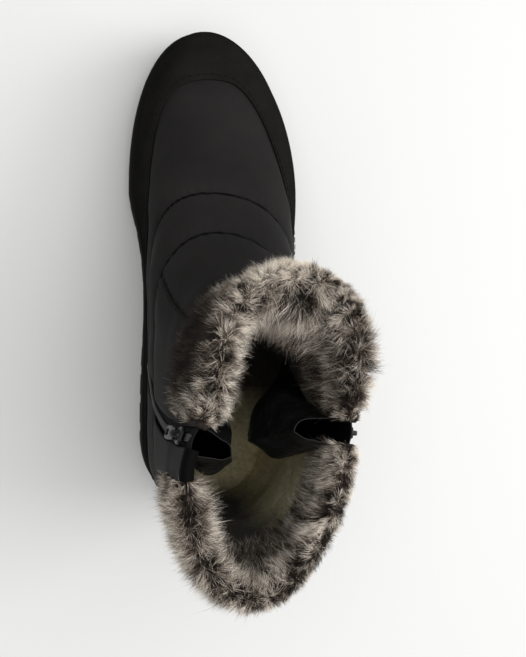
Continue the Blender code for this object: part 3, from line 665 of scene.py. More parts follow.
# %% Suede finish
# Short nap: fine noise in the bump and slow noise where the nap lies another way, with no gloss at all.
suede, tree, shader = new_finish("suede", 0.95, specular_ior_level=0.0)
place = object_place(tree)
nap = noise(tree, place, 1400.0, 3.0, 0.6)
brushed = noise(tree, place, 60.0, 4.0)
nap_shade = blend(tree, nap, brushed, 0.4)
paint(tree, shader, nap_shade, (0.3, (0.0095, 0.0090, 0.0086)), (0.7, (0.0165, 0.0158, 0.0150)))
bump(tree, shader, nap, 0.35, 0.0005)
add_piece(guard_mesh, suede, "boot", "suede", "mudguard")
print("suede:", len(tree.nodes), "nodes")

# %% [markdown]
# ## Rubber sole
# The sole unit has a rounded lip, a groove and a rib along its side, and V-shaped lugs below. One section
# is carried from toe to heel, with more stations at the edges of each tread groove so that they stay crisp.

# %% Sole loft
SEAT = 0.8 * MM
HEEL_FLAT = (-22 * MM, 34 * MM)
BALL_FLAT = (108 * MM, 168 * MM)
SOLE_TOE_Y = 244 * MM
GROOVE_DEPTH = 4 * MM
GROOVE_HALF = 2 * MM
GROOVE_SLOPE = 0.8 * MM
GROOVE_FIRST = 5 * MM
GROOVE_PITCH = 17.5 * MM
GROOVE_COUNT = 13
GROOVE_INSET = 2.4 * MM
CHEVRON = 8 * MM
ARCH_RISE = 4 * MM
TOE_SPRING = 13 * MM
HEEL_BEVEL = 3 * MM
HEEL_BEVEL_RUN = 16 * MM
SOLE_SHARP = math.radians(38)


class SoleStep(NamedTuple):
    """A point of the sole's side: millimetres out from the feather line and share of the way down."""

    out: float
    share: float


SOLE_SIDE = (
    SoleStep(3.2, 0.00),
    SoleStep(3.9, 0.01),
    SoleStep(4.4, 0.05),
    SoleStep(4.6, 0.11),
    SoleStep(4.6, 0.20),
    SoleStep(4.3, 0.25),
    SoleStep(3.4, 0.28),
    SoleStep(3.2, 0.31),
    SoleStep(3.3, 0.35),
    SoleStep(3.8, 0.38),
    SoleStep(4.0, 0.42),
    SoleStep(3.7, 0.55),
    SoleStep(3.2, 0.67),
    SoleStep(3.1, 0.72),
    SoleStep(3.4, 0.75),
    SoleStep(3.3, 0.84),
    SoleStep(2.4, 0.96),
    SoleStep(1.8, 1.00),
)
LUG_SHARE = 0.75


def tread_height(y):
    """Underside: flat at heel and ball, a sine squared arch, a sprung toe and a bevelled heel."""
    arch = np.clip((y - HEEL_FLAT[1]) / (BALL_FLAT[0] - HEEL_FLAT[1]), 0, 1)
    toe = np.clip((y - BALL_FLAT[1]) / (SOLE_TOE_Y - BALL_FLAT[1]), 0, None)
    heel = np.clip((HEEL_FLAT[0] - y) / HEEL_BEVEL_RUN, 0, None)
    return ARCH_RISE * np.sin(math.pi * arch) ** 2 + TOE_SPRING * toe**1.8 + HEEL_BEVEL * heel**2


def groove_share(y):
    """1 in a tread groove, 0 on a lug, with a short slope between."""
    number = np.clip(np.rint((y - GROOVE_FIRST) / GROOVE_PITCH), 0, GROOVE_COUNT - 1)
    nearest = GROOVE_FIRST + GROOVE_PITCH * number
    return np.clip((GROOVE_HALF + GROOVE_SLOPE - np.abs(y - nearest)) / GROOVE_SLOPE, 0, 1)


feather_scan = np.linspace(0, 1, 6001)
feather_y = last_point(feather_scan, 0.0)[:, 1]
groove_mid = GROOVE_FIRST + GROOVE_PITCH * np.arange(GROOVE_COUNT)
groove_edge = np.array([-1.4, -1.0, 1.0, 1.4]) * GROOVE_HALF
tip_turns = np.concatenate([np.linspace(0, 0.3, 40), np.linspace(0.8, 1, 40)])
station_y = np.concatenate([
    np.interp(tip_turns, feather_scan, feather_y),
    (groove_mid[:, None] + groove_edge).ravel(),
    np.linspace(feather_y.min(), feather_y.max(), 120),
])
station_y = np.unique(np.round(station_y, 5))[::-1]
station_turn = np.interp(-station_y, -feather_y, feather_scan)[:, None]
side_out = np.array([step.out for step in SOLE_SIDE]) * MM
side_share = np.array([step.share for step in SOLE_SIDE])
cross_steps = np.linspace(1, -1, 15)[1:-1]
at_side, across_it = np.ones(len(SOLE_SIDE)), np.ones(len(cross_steps))
sole_cross = np.concatenate([at_side, cross_steps, -at_side, -cross_steps])[None, :]
sole_out = np.concatenate([side_out, side_out[-1] * across_it, side_out[::-1], side_out[0] * across_it])
sole_drop = np.concatenate([side_share, across_it, side_share[::-1], 0 * across_it])[None, :]
groove = groove_share(station_y)[:, None]
sole_reach = sole_out - GROOVE_INSET * groove * smooth_step(sole_drop, LUG_SHARE - 0.01, LUG_SHARE + 0.02)
sole_points = between_edges(station_turn, sole_cross, sole_reach)
sole_top = sole_points[..., 2] - SEAT
sole_under = tread_height(sole_points[..., 1])
underneath = sole_drop == 1.0
taper = np.sin(math.pi * np.linspace(0, 1, len(station_y)))[:, None]
sole_points[..., 1] += np.where(underneath, CHEVRON * taper * (1 - np.abs(sole_cross)), 0.0)
sole_height = sole_top + (sole_under - sole_top) * sole_drop
sole_points[..., 2] = sole_height + np.where(underneath, GROOVE_DEPTH * groove, 0.0)
sole_mesh = grid_mesh("sole_rubber", sole_points, closed_columns=True)
sole_mesh.set_sharp_from_angle(angle=SOLE_SHARP)
print("sole:", len(station_y), "stations,", len(sole_mesh.polygons), "quads")

# %% Rubber finish
# Moulded rubber is near black, uneven in gloss, with a fine cast grain and clouds of dust.
rubber, tree, shader = new_finish("rubber", 0.7, specular_ior_level=0.04)
place = object_place(tree)
cast = noise(tree, place, 700.0, 3.0)
dust = noise(tree, place, 35.0, 5.0)
paint(tree, shader, dust, (0.35, (0.0085, 0.0083, 0.0078)), (0.8, (0.0160, 0.0155, 0.0142)))
tree.links.new(map_range(tree, dust, 0, 1, 0.5, 0.75), shader.inputs["Roughness"])
bump(tree, shader, cast, 0.25, 0.0004)
add_piece(sole_mesh, rubber, "boot", "rubber", "outsole")
print("rubber:", len(tree.nodes), "nodes")

# %% [markdown]
# ## Fur cuffs
# The pile is long, dark at the root and cream at the tip, and it parts along the rim: outside it falls out
# and down, inside it falls in. Blender's hair would be quick, but it doesn't travel with an exported mesh,
# so each hair is a thin ribbon, and tens of thousands of them are worked out as one array. Hairs are
# gathered into small locks, which lean their own way and have their own shade. Beside the zips they are
# shorter and turned away, so that the pull tabs swing clear of them.

# %% Skin of the cuffs
CUFF_LEVEL = 9.5
CUFF_MID_LEVEL = 11.0
CUFF_ROWS = 40
SKIN = 1.2 * MM
CREST_SHARE = 0.16
SHARE_STEP = 0.01
CUFF_RUN = 55 * MM
INNER_ROLL = 16 * MM
FELT_END = 4.6 * MM
FELT_THICK = 0.8 * MM
FUR_ENDS = {
    "front": {"lateral": 5 * MM, "medial": 6.5 * MM},
    "back": {"lateral": 5 * MM, "medial": 16 * MM},
}


class Pile(NamedTuple):
    """Height of the pile at a turn, outside and inside the rim, in millimetres."""

    turn: float
    outside: float
    inside: float


PILE = (
    Pile(-1.00, 5, 7),
    Pile(-0.95, 8, 7),
    Pile(-0.90, 10, 8),
    Pile(-0.80, 9, 12),
    Pile(-0.72, 8, 12),
    Pile(-0.60, 8, 10),
    Pile(-0.40, 8, 9),
    Pile(-0.30, 8, 9),
    Pile(-0.20, 7, 13),
    Pile(-0.08, 6, 16),
    Pile(0.02, 5, 18),
    Pile(0.12, 3.5, 12),
    Pile(0.20, 4, 11),
    Pile(0.30, 7, 11),
    Pile(0.40, 11, 12),
    Pile(0.50, 9, 11),
    Pile(0.58, 5, 7),
    Pile(0.90, 3.5, 9),
    Pile(1.00, 5, 7),
)


def inner_roll(turn, share):
    """How far the skin swells into the shaft: bells over the front's inside, fullest on its lateral half."""
    hanging = bell(share, -0.48, 0.26) * (share < 0)
    return INNER_ROLL * hanging * bell(turn, 0.19, 0.2) * smooth_step(ZIP_TURN - turn, 0.02, 0.2)


def cuff_skin(turn, share):
    """Point, normal and fall of the skin: share -1 inside, 0 on the crest, 1 outside.

    The walls follow the last, set off by the skin, and a half circle joins them over the rim. Inside the
    front the skin is moved in by its roll, and its normal tips up by the roll's slope.
    """
    away = np.abs(share)
    angle = np.clip(share / CREST_SHARE, -1, 1) * math.pi / 2
    level = TOP_LEVEL - np.clip((away - CREST_SHARE) / (1 - CREST_SHARE), 0, 1) * (TOP_LEVEL - CUFF_LEVEL)
    point, outward, up = wall_frame(turn, level)
    radius = WALL / 2 + SKIN
    roll = inner_roll(turn, share)
    slope = (inner_roll(turn, share - SHARE_STEP) - roll) / (SHARE_STEP * CUFF_RUN)
    out = -WALL / 2 + radius * np.sin(angle) - roll
    point = point + outward * out[..., None] + up * (radius * np.cos(angle))[..., None]
    normal = unit(outward * np.sin(angle)[..., None] + up * (np.cos(angle) + slope)[..., None])
    fall = outward * np.cos(angle)[..., None] - up * np.sin(angle)[..., None]
    return point, normal, fall * np.where(share < 0, -1, 1)[..., None]


def cuff_turn(part, across, lateral_end, medial_end):
    """Turn of a place on a cuff, across it from -1 to 1 between two ends, each so far from its zip."""
    lateral, medial = (slot_half_turn(np.array(CUFF_MID_LEVEL), end) for end in (lateral_end, medial_end))
    share = (1 + across) / 2
    if part == "front":
        return medial - ZIP_TURN + share * (2 * ZIP_TURN - lateral - medial)
    return ZIP_TURN + lateral + share * (2 - 2 * ZIP_TURN - lateral - medial)


cuff_felt, tree, shader = new_finish("cuff_felt", 0.95, specular_ior_level=0.1)
place = object_place(tree)
felt_shade = noise(tree, place, 300.0, 4.0)
paint(tree, shader, felt_shade, (0.3, (0.016, 0.012, 0.010)), (0.7, (0.045, 0.035, 0.029)))
bump(tree, shader, noise(tree, place, 700.0, 2.0), 0.6, 0.001)
for part, columns in (("front", 120), ("back", 80)):
    share_grid, across_grid = parameter_grid(np.linspace(-1, 1, CUFF_ROWS), np.linspace(-1, 1, columns))
    skin_points = cuff_skin(cuff_turn(part, across_grid, FELT_END, FELT_END), share_grid)[0]
    felt_mesh = grid_mesh("cuff_felt_" + part, skin_points)
    felt = add_piece(felt_mesh, cuff_felt, "boot", "fur", "cuff_" + part)
    give_thickness(felt, FELT_THICK, -1)
    print("cuff felt", part, len(felt_mesh.polygons), "quads")

# %% Hairs as ribbons
LOCK_WIDTH = 1.9 * MM
LOCK_RUN = 3.0 * MM
HAIR_STEPS = np.array([0.0, 0.55])
HAIR_WIDTH = 0.15 * MM
HAIR_TAPER = 0.6
HAIR_SHORT = 9 * MM
HAIR_LEAN = math.radians(45)
HAIR_BEND = 0.34
HAIR_DROOP = np.array([0, 0, -0.5])
LOCK_CLOSING = 0.34
LOCK_TABLE = (211, 97, 8)
FRONT_SHADE = 0.40
BACK_SHADE = 0.44


def lock_values(cell_a, cell_b, seed):
    """Random numbers, -0.5 to 0.5, that all hairs of a lock share: a table that repeats beyond the cuff."""
    table = np.random.default_rng(seed).random(LOCK_TABLE) - 0.5
    return table[cell_a.astype(int) % LOCK_TABLE[0], cell_b.astype(int) % LOCK_TABLE[1]].T


def hair_length(turn, share):
    """Pile heights read between the turns of the table, blended from inside to outside over the crest.

    Where the inside is longer than a short hair, only its lower rows have the full length.
    """
    turn = (turn + 1) % 2 - 1
    stops = np.array(PILE)
    outside, inside = (np.interp(turn, stops[:, 0], stops[:, column]) * MM for column in (1, 2))
    low_rows = np.where((turn > -0.3) & (turn < ZIP_TURN), smooth_step(-share, 0.1, 0.25), 1.0)
    inside = np.minimum(inside, HAIR_SHORT) + np.maximum(inside - HAIR_SHORT, 0) * low_rows
    return inside + (outside - inside) * smooth_step(share, -0.15, 0.15)


def hair_shade(turn, share, tip):
    """Shade of the pile by place, and how much it varies: bells and steps over turn, share and tip.

    Most of it is painted light: painted shade on the medial face, in the inside of the heel, in a hollow
    inside the front and below a lip there, and painted highlights on the brow, the ridge, the inner fringe
    and that lip.
    """
    turn = (turn + 1) % 2 - 1
    front, inside = np.abs(turn) < ZIP_TURN, share < 0
    across, ahead = tip[:, 0] / MM, tip[:, 1] / MM
    medial_turn = smooth_step(-turn, 0.02, 0.24) * smooth_step(turn, -0.6, -0.42)
    medial_face_painted_shade = smooth_step(share, -0.05, 0.3) * medial_turn
    hollow_painted_shade = bell(across, 12, 8) * bell(ahead, 75.5, 6) * inside
    below_lip_painted_shade = smooth_step(-ahead, -66, -60) * smooth_step(turn, 0.0, 0.12) * front * inside
    heel_inside_painted_shade = smooth_step(-share, 0.0, 0.3) * smooth_step(np.abs(turn), 0.78, 0.92)
    # Painted shade: the medial face, the hollow inside the front, the fur below the lip and the heel's
    # inside.
    painted_shade = 0.62 * medial_face_painted_shade + 0.7 * hollow_painted_shade + 0.4 * below_lip_painted_shade + 0.38 * heel_inside_painted_shade
    lip_painted_light = bell(across, 7, 14) * bell(ahead, 67, 3) * inside * (turn < 0.2)
    brow_painted_light = bell(turn, -0.03, 0.16) * smooth_step(share, -0.2, 0.0)
    fringe_painted_light = np.where(turn < 0, 1.0, 0.4) * bell(share, -0.3, 0.14) * (np.abs(turn) > 0.22)
    ridge_painted_light = np.where(front & (turn < -0.1), 1.8, 1.0) * bell(share, 0, 0.2)
    # Painted highlights: the brow, the inner fringe, the ridge and the lip inside the front.
    painted_light = 0.6 * brow_painted_light + 0.3 * fringe_painted_light + 0.12 * ridge_painted_light + 0.4 * lip_painted_light
    return np.where(front, FRONT_SHADE, BACK_SHADE) + painted_light - painted_shade, 1 - 0.45 * medial_face_painted_shade


def make_fur(name, part, low, high, count, seed):
    """Ribbons that rise from the skin, bend the way the pile falls, and close into locks at their tips.

    A hair's path is its heading by its length, its curl by the square of that, and a pull to its lock's
    middle. Each lock has its own length, lean, curl and tone. Beside the zips hairs are shorter and turned
    away.
    """
    pick = np.random.default_rng(seed)
    across = pick.uniform(-1, 1, count)
    turn = cuff_turn(part, across, FUR_ENDS[part]["lateral"], FUR_ENDS[part]["medial"])
    share = pick.uniform(low, high, count)
    inside = share < 0
    root, normal, fall = cuff_skin(turn, share)
    per_turn = metres_per_turn(turn, np.full(count, CUFF_MID_LEVEL))
    waver = 0.35 * soft_waves(root, seed, 6, 6 * MM, 20 * MM)
    cell_a = np.floor(turn * per_turn / LOCK_WIDTH + waver)
    cell_b = np.floor(share * CUFF_RUN / LOCK_RUN + 0.5 * (cell_a % 2))
    _, _, longer, forth, sideways, tone, twist, _ = lock_values(cell_a, cell_b, seed + 1)
    lock_turn = (cell_a + 0.5 - waver) * LOCK_WIDTH / per_turn
    lock_share = (cell_b + 0.5 - 0.5 * (cell_a % 2)) * LOCK_RUN / CUFF_RUN
    gather = cuff_skin(lock_turn, np.clip(lock_share, -1, 1))[0] - root
    along = unit(np.cross(normal, fall))
    crest = bell(share, 0, 0.3)
    lean = HAIR_LEAN * (1 - crest) * (1 - 0.75 * bell(turn, 0.15, 0.3) * inside)
    swirl = [soft_waves(root, seed + extra, 6, 6 * MM, 20 * MM) for extra in (5, 6)]
    near_zip = smooth_step(np.abs(across), 0.88, 1.0)
    turned_away = np.sign(across) * np.where(inside, crest - 1, 1) * near_zip
    aside = 0.4 * swirl[0] + 0.95 * sideways + 0.8 * turned_away
    onward = np.sin(lean) + 0.3 * swirl[1] + (0.7 + crest) * forth
    heading = normal * np.cos(lean)[:, None] + fall * onward[:, None] + along * aside[:, None]
    heading = unit(heading + pick.normal(0, 0.24, (count, 3)))
    length = hair_length(turn, share) * (0.78 + pick.gamma(2.0, 0.07, count)) * (1 + 0.48 * longer)
    length *= 1 - 0.4 * near_zip * np.where(inside, crest, 1)
    curl = unit(fall * (1 - crest)[:, None] + along * (1.7 * twist)[:, None] + HAIR_DROOP)
    steps = np.append(HAIR_STEPS, 1.0)
    path = root[:, None] + heading[:, None] * (length[:, None] * steps)[..., None]
    path = path + curl[:, None] * (HAIR_BEND * length[:, None] * steps**2)[..., None]
    path = path + gather[:, None] * (LOCK_CLOSING * steps**1.2)[None, :, None]
    wide = unit(np.cross(heading, normal + pick.normal(0, 0.6, (count, 3))))
    half = 0.5 * HAIR_WIDTH * (1 - HAIR_TAPER * HAIR_STEPS)
    offset = wide[:, None] * half[None, :, None]
    points = np.concatenate([path[:, :-1] - offset, path[:, :-1] + offset, path[:, -1:]], axis=1)
    ladder = np.array([[0, 2, 3], [0, 3, 1], [1, 3, 4]])
    faces = (np.arange(count)[:, None, None] * points.shape[1] + ladder).reshape(-1, 3)
    # The shade brings the painted light and shade of hair_shade; patch and own add the locks' own tone.
    shade, vary = hair_shade(turn, share, path[:, -1])
    patch = np.where(inside, 0.36, 0.34) * soft_waves(root, seed + 7, 8, 4 * MM, 10 * MM)
    own = np.where(inside, 1.1, 0.9) * tone + pick.normal(0, 0.15, count)
    shade = np.clip(shade + vary * (patch + own), -0.3, 1)
    along_hair = np.concatenate([HAIR_STEPS, HAIR_STEPS, [1.0]])
    uv = np.stack([np.repeat(shade, len(along_hair)), np.tile(along_hair, count)], axis=-1)
    return fill_mesh(name, points.reshape(-1, 3), faces, uv)


# %% Fur finish
# The UV map carries each hair: U is its shade, the lock's own tone with painted light and shade, and V goes
# from root to tip.
fur, tree, shader = new_finish("fur", 0.7, specular_ior_level=0.2)
hair_uv = add_node(tree, "SeparateXYZ", {"Vector": add_node(tree, "TexCoord").outputs["UV"]})
lock_lift = mathematics(tree, "MULTIPLY", mathematics(tree, "SUBTRACT", hair_uv.outputs["X"], 0.5), 0.95)
tip_share = mathematics(tree, "ADD", hair_uv.outputs["Y"], lock_lift)
paint(
    tree,
    shader,
    tip_share,
    (0.16, (0.011, 0.0078, 0.0058)),
    (0.47, (0.076, 0.055, 0.040)),
    (0.73, (0.345, 0.283, 0.222)),
    (0.97, (0.90, 0.82, 0.71)),
)
FUR = (
    ("fur_front_outside", "front", 0.0, 1.0, 62000, 31),
    ("fur_front_inside", "front", -1.0, 0.0, 54000, 37),
    ("fur_back_outside", "back", 0.0, 1.0, 39000, 41),
    ("fur_back_inside", "back", -1.0, 0.0, 39000, 43),
)
for name, part, low, high, count, seed in FUR:
    fur_mesh = make_fur(name, part, low, high, count, seed)
    add_piece(fur_mesh, fur, "boot", "fur")
    print(name, len(fur_mesh.polygons), "triangles")

# %% [markdown]
# ## Gussets
# Behind each zip a bellows of thin nylon folds inwards when the zip is closed. Seen from above it is two
# flanks that spread to a round fold; pleats run down it, and it closes at the zip's foot. A strip of nylon
# binds the rim where it is bare of fur, behind the medial zip.

# %% Gusset sheets
GUSSET_TOP_LEVEL = 11.7
GUSSET_START = WALL + 0.8 * MM
GUSSET_NECK = 9 * MM
GUSSET_HALF = 13.5 * MM
GUSSET_FLANK = 19 * MM
GUSSET_CAP = 12 * MM
GUSSET_FLANK_SHARE = 0.45
GUSSET_SIZE = {"lateral": 1.0, "medial": 0.72}
GUSSET_FRONT_SPREAD = 1.35
GUSSET_BACK_SPREAD = {"lateral": 1.1, "medial": 1.7}
GUSSET_THICK = 0.35 * MM
FOLD_DEPTH = 2.4 * MM
CREASE_DEPTH = 0.8 * MM
FIN_DEPTH = 5 * MM
SIDES = {"lateral": 1, "medial": -1}

gusset_nylon, tree, shader = new_finish("gusset_nylon", 0.42, specular_ior_level=0.28)
place = object_place(tree)
crinkle = noise(tree, place, 75.0, 5.0, 0.55)
paint(tree, shader, crinkle, (0.3, (0.0045, 0.0045, 0.0048)), (0.7, (0.0090, 0.0090, 0.0095)))
bump(tree, shader, crinkle, 0.7, 0.006)


def gusset_points(word, share, rise):
    """Two flanks and a round cap from above, fullest below the rim, with pleats that fade at the neck."""
    side, size = SIDES[word], GUSSET_SIZE[word]
    away = np.abs(share)
    flank = np.clip((1 - away) / GUSSET_FLANK_SHARE, 0, 1)
    angle = np.clip(away / (1 - GUSSET_FLANK_SHARE), 0, 1) * math.pi / 2
    grown = 0.02 + 0.98 * smooth_step(rise, 0.0, 0.74)
    sealed = 0.4 + 0.6 * smooth_step(rise, 0.0, 0.06) * smooth_step(flank, 0.0, 0.05)
    narrowed = smooth_step(rise, 0.72, 1.0)
    swell = size * (grown - 0.35 * narrowed)
    fold = np.abs(np.sin(share * 4.6 + 1.3 * rise + 0.9 * side)) - 0.6
    crease = np.abs(np.sin(share * 8.0 - 2.4 * rise)) - 0.6
    fin = np.exp(-np.abs(share - 0.1 - 0.25 * (1 - rise)) / 0.09)
    pleated = size * flank * smooth_step(rise, 0.1, 0.5) * (1 - 0.8 * narrowed)
    pleat = (FOLD_DEPTH * fold + CREASE_DEPTH * crease + FIN_DEPTH * fin) * pleated
    spread = np.where(share < 0, GUSSET_FRONT_SPREAD, GUSSET_BACK_SPREAD[word])
    spread = spread * size * (grown - 0.72 * narrowed)
    neck = GUSSET_NECK * (1 - 0.3 * narrowed)
    half = neck + (GUSSET_HALF * spread - neck) * flank
    sideways = np.sign(share) * np.where(flank < 1, half, half * np.sin(angle))
    depth = GUSSET_START * sealed + (GUSSET_FLANK * flank + GUSSET_CAP * np.cos(angle)) * swell + pleat
    level = ZIP_FOOT_LEVEL + (GUSSET_TOP_LEVEL - ZIP_FOOT_LEVEL) * rise
    point, outward, up = wall_frame(side * ZIP_TURN, level)
    along = unit(np.cross(outward, up)) * side
    return point - outward * depth[..., None] + along * sideways[..., None]


for word in SIDES:
    rise_grid, share_grid = parameter_grid(np.linspace(0, 1, 56), np.linspace(-1, 1, 101))
    gusset_mesh = grid_mesh("gusset_fold_" + word, gusset_points(word, share_grid, rise_grid))
    gusset = add_piece(gusset_mesh, gusset_nylon, "boot", "lining", "gusset_" + word)
    give_thickness(gusset, GUSSET_THICK, 0)
print("gussets:", 2 * len(gusset_mesh.polygons), "quads")

# %% Binding on the bare rim behind the medial zip
BINDING_THICK = 0.4 * MM
BINDING_OUT = 0.5 * MM
BINDING_TUCK = 2 * MM
bare_ends = (FELT_END - BINDING_THICK, FUR_ENDS["back"]["medial"] + BINDING_TUCK)
bare = [slot_half_turn(np.array(CUFF_MID_LEVEL), end) for end in bare_ends]
share_grid, bare_turn = parameter_grid(np.linspace(-1, 1, CUFF_ROWS), -ZIP_TURN - np.linspace(*bare, 16))
bare_point, bare_normal, _ = cuff_skin(bare_turn, share_grid)
binding_mesh = grid_mesh("rim_binding", bare_point + bare_normal * BINDING_OUT, flip=True)
binding = add_piece(binding_mesh, nylon, "boot", "nylon")
give_thickness(binding, BINDING_THICK, -1)
print("binding:", len(binding_mesh.polygons), "quads")

# %% [markdown]
# ## Zips
# A zip is a woven tape with two rows of moulded teeth that bite into each other. One tooth is a rounded
# block of a few dozen faces; all teeth of a zip are that block, placed along the slot in one array.

# %% Tape and teeth
ZIP_TOP = TOP_LEVEL - 0.02
ZIP_FOOT = ZIP_FOOT_LEVEL + 0.06
TOOTH_PITCH = 1.9 * MM
TOOTH_SIZE = np.array([2.1, 1.35, 1.5]) * MM
TOOTH_ASIDE = 0.75 * MM
TOOTH_OUT = 0.45 * MM
TAPE_THICK = 0.7 * MM
TAPE_ACROSS = np.array([-7.0, -4.5, -1.8, 0.0, 1.8, 4.5, 7.0]) * MM
TAPE_OUT = np.array([-1.6, -1.2, -0.7, -0.5, -0.7, -1.2, -1.6]) * MM

tape_cloth, tree, shader = new_finish("tape_cloth", 0.8, specular_ior_level=0.06)
place = object_place(tree)
rib = add_node(tree, "TexWave", {"Vector": place, "Scale": 260.0, "Distortion": 0.5}, bands_direction="Z")
ribs = rib.outputs["Fac"]
paint(tree, shader, ribs, (0.2, (0.0040, 0.0040, 0.0042)), (0.8, (0.0100, 0.0100, 0.0105)))
bump(tree, shader, ribs, 0.4, 0.0004)

tooth_plastic, tree, shader = new_finish("tooth_plastic", 0.35, specular_ior_level=0.5)
place = object_place(tree)
tooth_shade = noise(tree, place, 900.0)
paint(tree, shader, tooth_shade, (0.3, (0.006, 0.006, 0.0065)), (0.7, (0.014, 0.014, 0.015)))
bump(tree, shader, noise(tree, place, 2500.0), 0.15, 0.0002)


def zip_place(side, level, across, out):
    """A point by the zip: across it in metres, positive to the back, and out of the wall."""
    half_turn = across / metres_per_turn(side * ZIP_TURN, level)
    return wall_point(side * (ZIP_TURN + half_turn), level, out)


def rounded_block(power=4.0, cells=2):
    """A cube of cells x cells quads a side, pushed out to the surface where the sum of |x|^power is 1."""
    ticks = np.linspace(-1, 1, cells + 1)
    lattice = np.stack(np.meshgrid(ticks, ticks, ticks, indexing="ij"), axis=-1).reshape(-1, 3)
    index = np.arange(len(lattice)).reshape([cells + 1] * 3)
    sheets = []
    for axis in range(3):
        for side in (0, cells):
            sheet = np.take(index, side, axis)
            corners = (sheet[:-1, :-1], sheet[1:, :-1], sheet[1:, 1:], sheet[:-1, 1:])
            quads = np.stack(corners, axis=-1).reshape(-1, 4)
            sheets.append(quads if (side == cells) != (axis == 1) else quads[:, ::-1])
    used, faces = np.unique(np.concatenate(sheets), return_inverse=True)
    points = lattice[used]
    size = np.sum(np.abs(points) ** power, axis=1, keepdims=True) ** (1 / power)
    return points / size / 2, faces.reshape(-1, 4)


block_points, block_faces = rounded_block()


def block_row(centre, axes, size):
    """Rounded blocks of one size, each along its own three axes at its own centre."""
    return centre[:, None] + np.einsum("vi,nij->nvj", block_points * size, axes)


def block_mesh(name, blocks):
    """One mesh of many blocks: each has the faces of the first, counted on by its number of points."""
    faces = np.arange(len(blocks))[:, None, None] * len(block_points) + block_faces
    return fill_mesh(name, blocks.reshape(-1, 3), faces.reshape(-1, 4))


def path_run(path):
    """Length along a line of points, from its start to each of them."""
    return np.concatenate([[0], np.cumsum(np.linalg.norm(np.diff(path, axis=0), axis=1))])


for word, side in SIDES.items():
    level_scan = np.linspace(ZIP_FOOT, ZIP_TOP, 400)
    zip_run = path_run(last_point(side * ZIP_TURN, level_scan))
    tape_level = np.linspace(ZIP_FOOT, ZIP_TOP, 90)[:, None]
    tape_points = zip_place(side, *np.broadcast_arrays(tape_level, TAPE_ACROSS, TAPE_OUT))
    tape_mesh = grid_mesh("zip_tape_" + word, tape_points, flip=side < 0)
    tape = add_piece(tape_mesh, tape_cloth, "boot", "zip", "zip_" + word)
    give_thickness(tape, TAPE_THICK, -1)
    tooth_run = np.arange(TOOTH_PITCH / 2, zip_run[-1] - TOOTH_PITCH, TOOTH_PITCH / 2)
    tooth_level = np.interp(tooth_run, zip_run, level_scan)
    tooth_across = np.where(np.arange(len(tooth_run)) % 2 == 0, TOOTH_ASIDE, -TOOTH_ASIDE)
    centre = zip_place(side, tooth_level, tooth_across, np.full(len(tooth_run), TOOTH_OUT))
    _, outward, up = wall_frame(side * ZIP_TURN, tooth_level)
    axes = np.stack([unit(np.cross(up, outward)), up, outward], axis=1)
    teeth_mesh = block_mesh("zip_teeth_" + word, block_row(centre, axes, TOOTH_SIZE))
    add_piece(teeth_mesh, tooth_plastic, "boot", "zip")
    print("zip", word, len(centre), "teeth")

# %% [markdown]
# ## Sliders and pull tabs
# A cast slider is a shield with soft corners that grips the teeth, under a strap that holds the tab. The
# tab is pressed from sheet: a loop round the strap and a flat grip with a slot. All are surfaces of two
# parameters in the zip's own axes, and each tab rides on its own hinge. The lacquer is worn a little.

# %% Slider and tab
SLIDER_LEVEL = 10.9
SLIDER_SEAT = 1.4 * MM
SLIDER_SIZE = np.array([8.0, 11.0, 2.2]) * MM
STRAP_HALF = np.array([1.1, 3.95, 3.85]) * MM
STRAP_FOOT = 1.6 * MM
STRAP_THICK = 0.55 * MM
HINGE_HEIGHT = SLIDER_SEAT + 3.6 * MM
TAB_THICK = 1.2 * MM
SHIELD_TAPER = 0.2
GRIP_RING = ((6.4, 17.6, -14.6), (3.0, 7.0, -18.7))
LOOP_RING = ((5.4, 7.4, -3.1), (3.2, 5.0, -3.1))


def soft_power(value, power):
    """A power that keeps the sign: it squares off the circle that sine and cosine draw."""
    return np.sign(value) * np.abs(value) ** power


def on_zip(side, points, out):
    """Points in the zip's axes, across it, up it and out of the boot, moved to the slider's place."""
    point, outward, up = wall_frame(side * ZIP_TURN, np.array(SLIDER_LEVEL))
    return point + outward * out + points @ np.stack([unit(np.cross(up, outward)), up, outward])


def strap_surface():
    """A half ellipse along the zip with a flat section round it, closed to a point at both feet."""
    bend = np.concatenate([[0], np.linspace(0, math.pi, 25), [math.pi]])[:, None]
    around = np.linspace(0, 2 * math.pi, 12, endpoint=False)[None, :]
    full = np.ones(bend.shape)
    full[[0, -1]] = 0
    thick = STRAP_THICK * full * soft_power(np.cos(around), 0.6)
    across = STRAP_HALF[0] * full * soft_power(np.sin(around), 0.6)
    length = -(STRAP_HALF[1] + thick) * np.cos(bend)
    height = STRAP_FOOT + (STRAP_HALF[2] + thick) * np.sin(bend)
    points = np.stack([across, length, height], axis=-1)
    return points.reshape(-1, 3), grid_faces(*across.shape, closed_columns=True).reshape(-1, 4)


def ring_surface(outer, inner):
    """A flat ring between two squared ellipses (width, length, middle), with a soft section round it."""
    around = np.linspace(0, 2 * math.pi, 48, endpoint=False)[:, None]
    section = np.linspace(0, 2 * math.pi, 12, endpoint=False)[None, :]
    width, length, middle = (np.array([inner[i], outer[i]]) * MM for i in range(3))
    share = (1 + soft_power(np.cos(section), 0.3)) / 2
    across = (width[0] + (width[1] - width[0]) * share) / 2 * soft_power(np.cos(around), 0.45)
    along = (length[0] + (length[1] - length[0]) * share) / 2 * soft_power(np.sin(around), 0.45)
    along = along + middle[0] + (middle[1] - middle[0]) * share
    height = TAB_THICK / 2 * soft_power(np.sin(section), 0.6) + 0 * around
    points = np.stack([across, along, height], axis=-1)
    faces = grid_faces(*across.shape, closed_rows=True, closed_columns=True)
    return points.reshape(-1, 3), faces.reshape(-1, 4)


def joined(*parts):
    """Several lists of points and faces as one."""
    starts = np.cumsum([0] + [len(points) for points, _ in parts[:-1]])
    faces = [start + part[1] for start, part in zip(starts, parts)]
    return np.concatenate([part[0] for part in parts]), np.concatenate(faces)


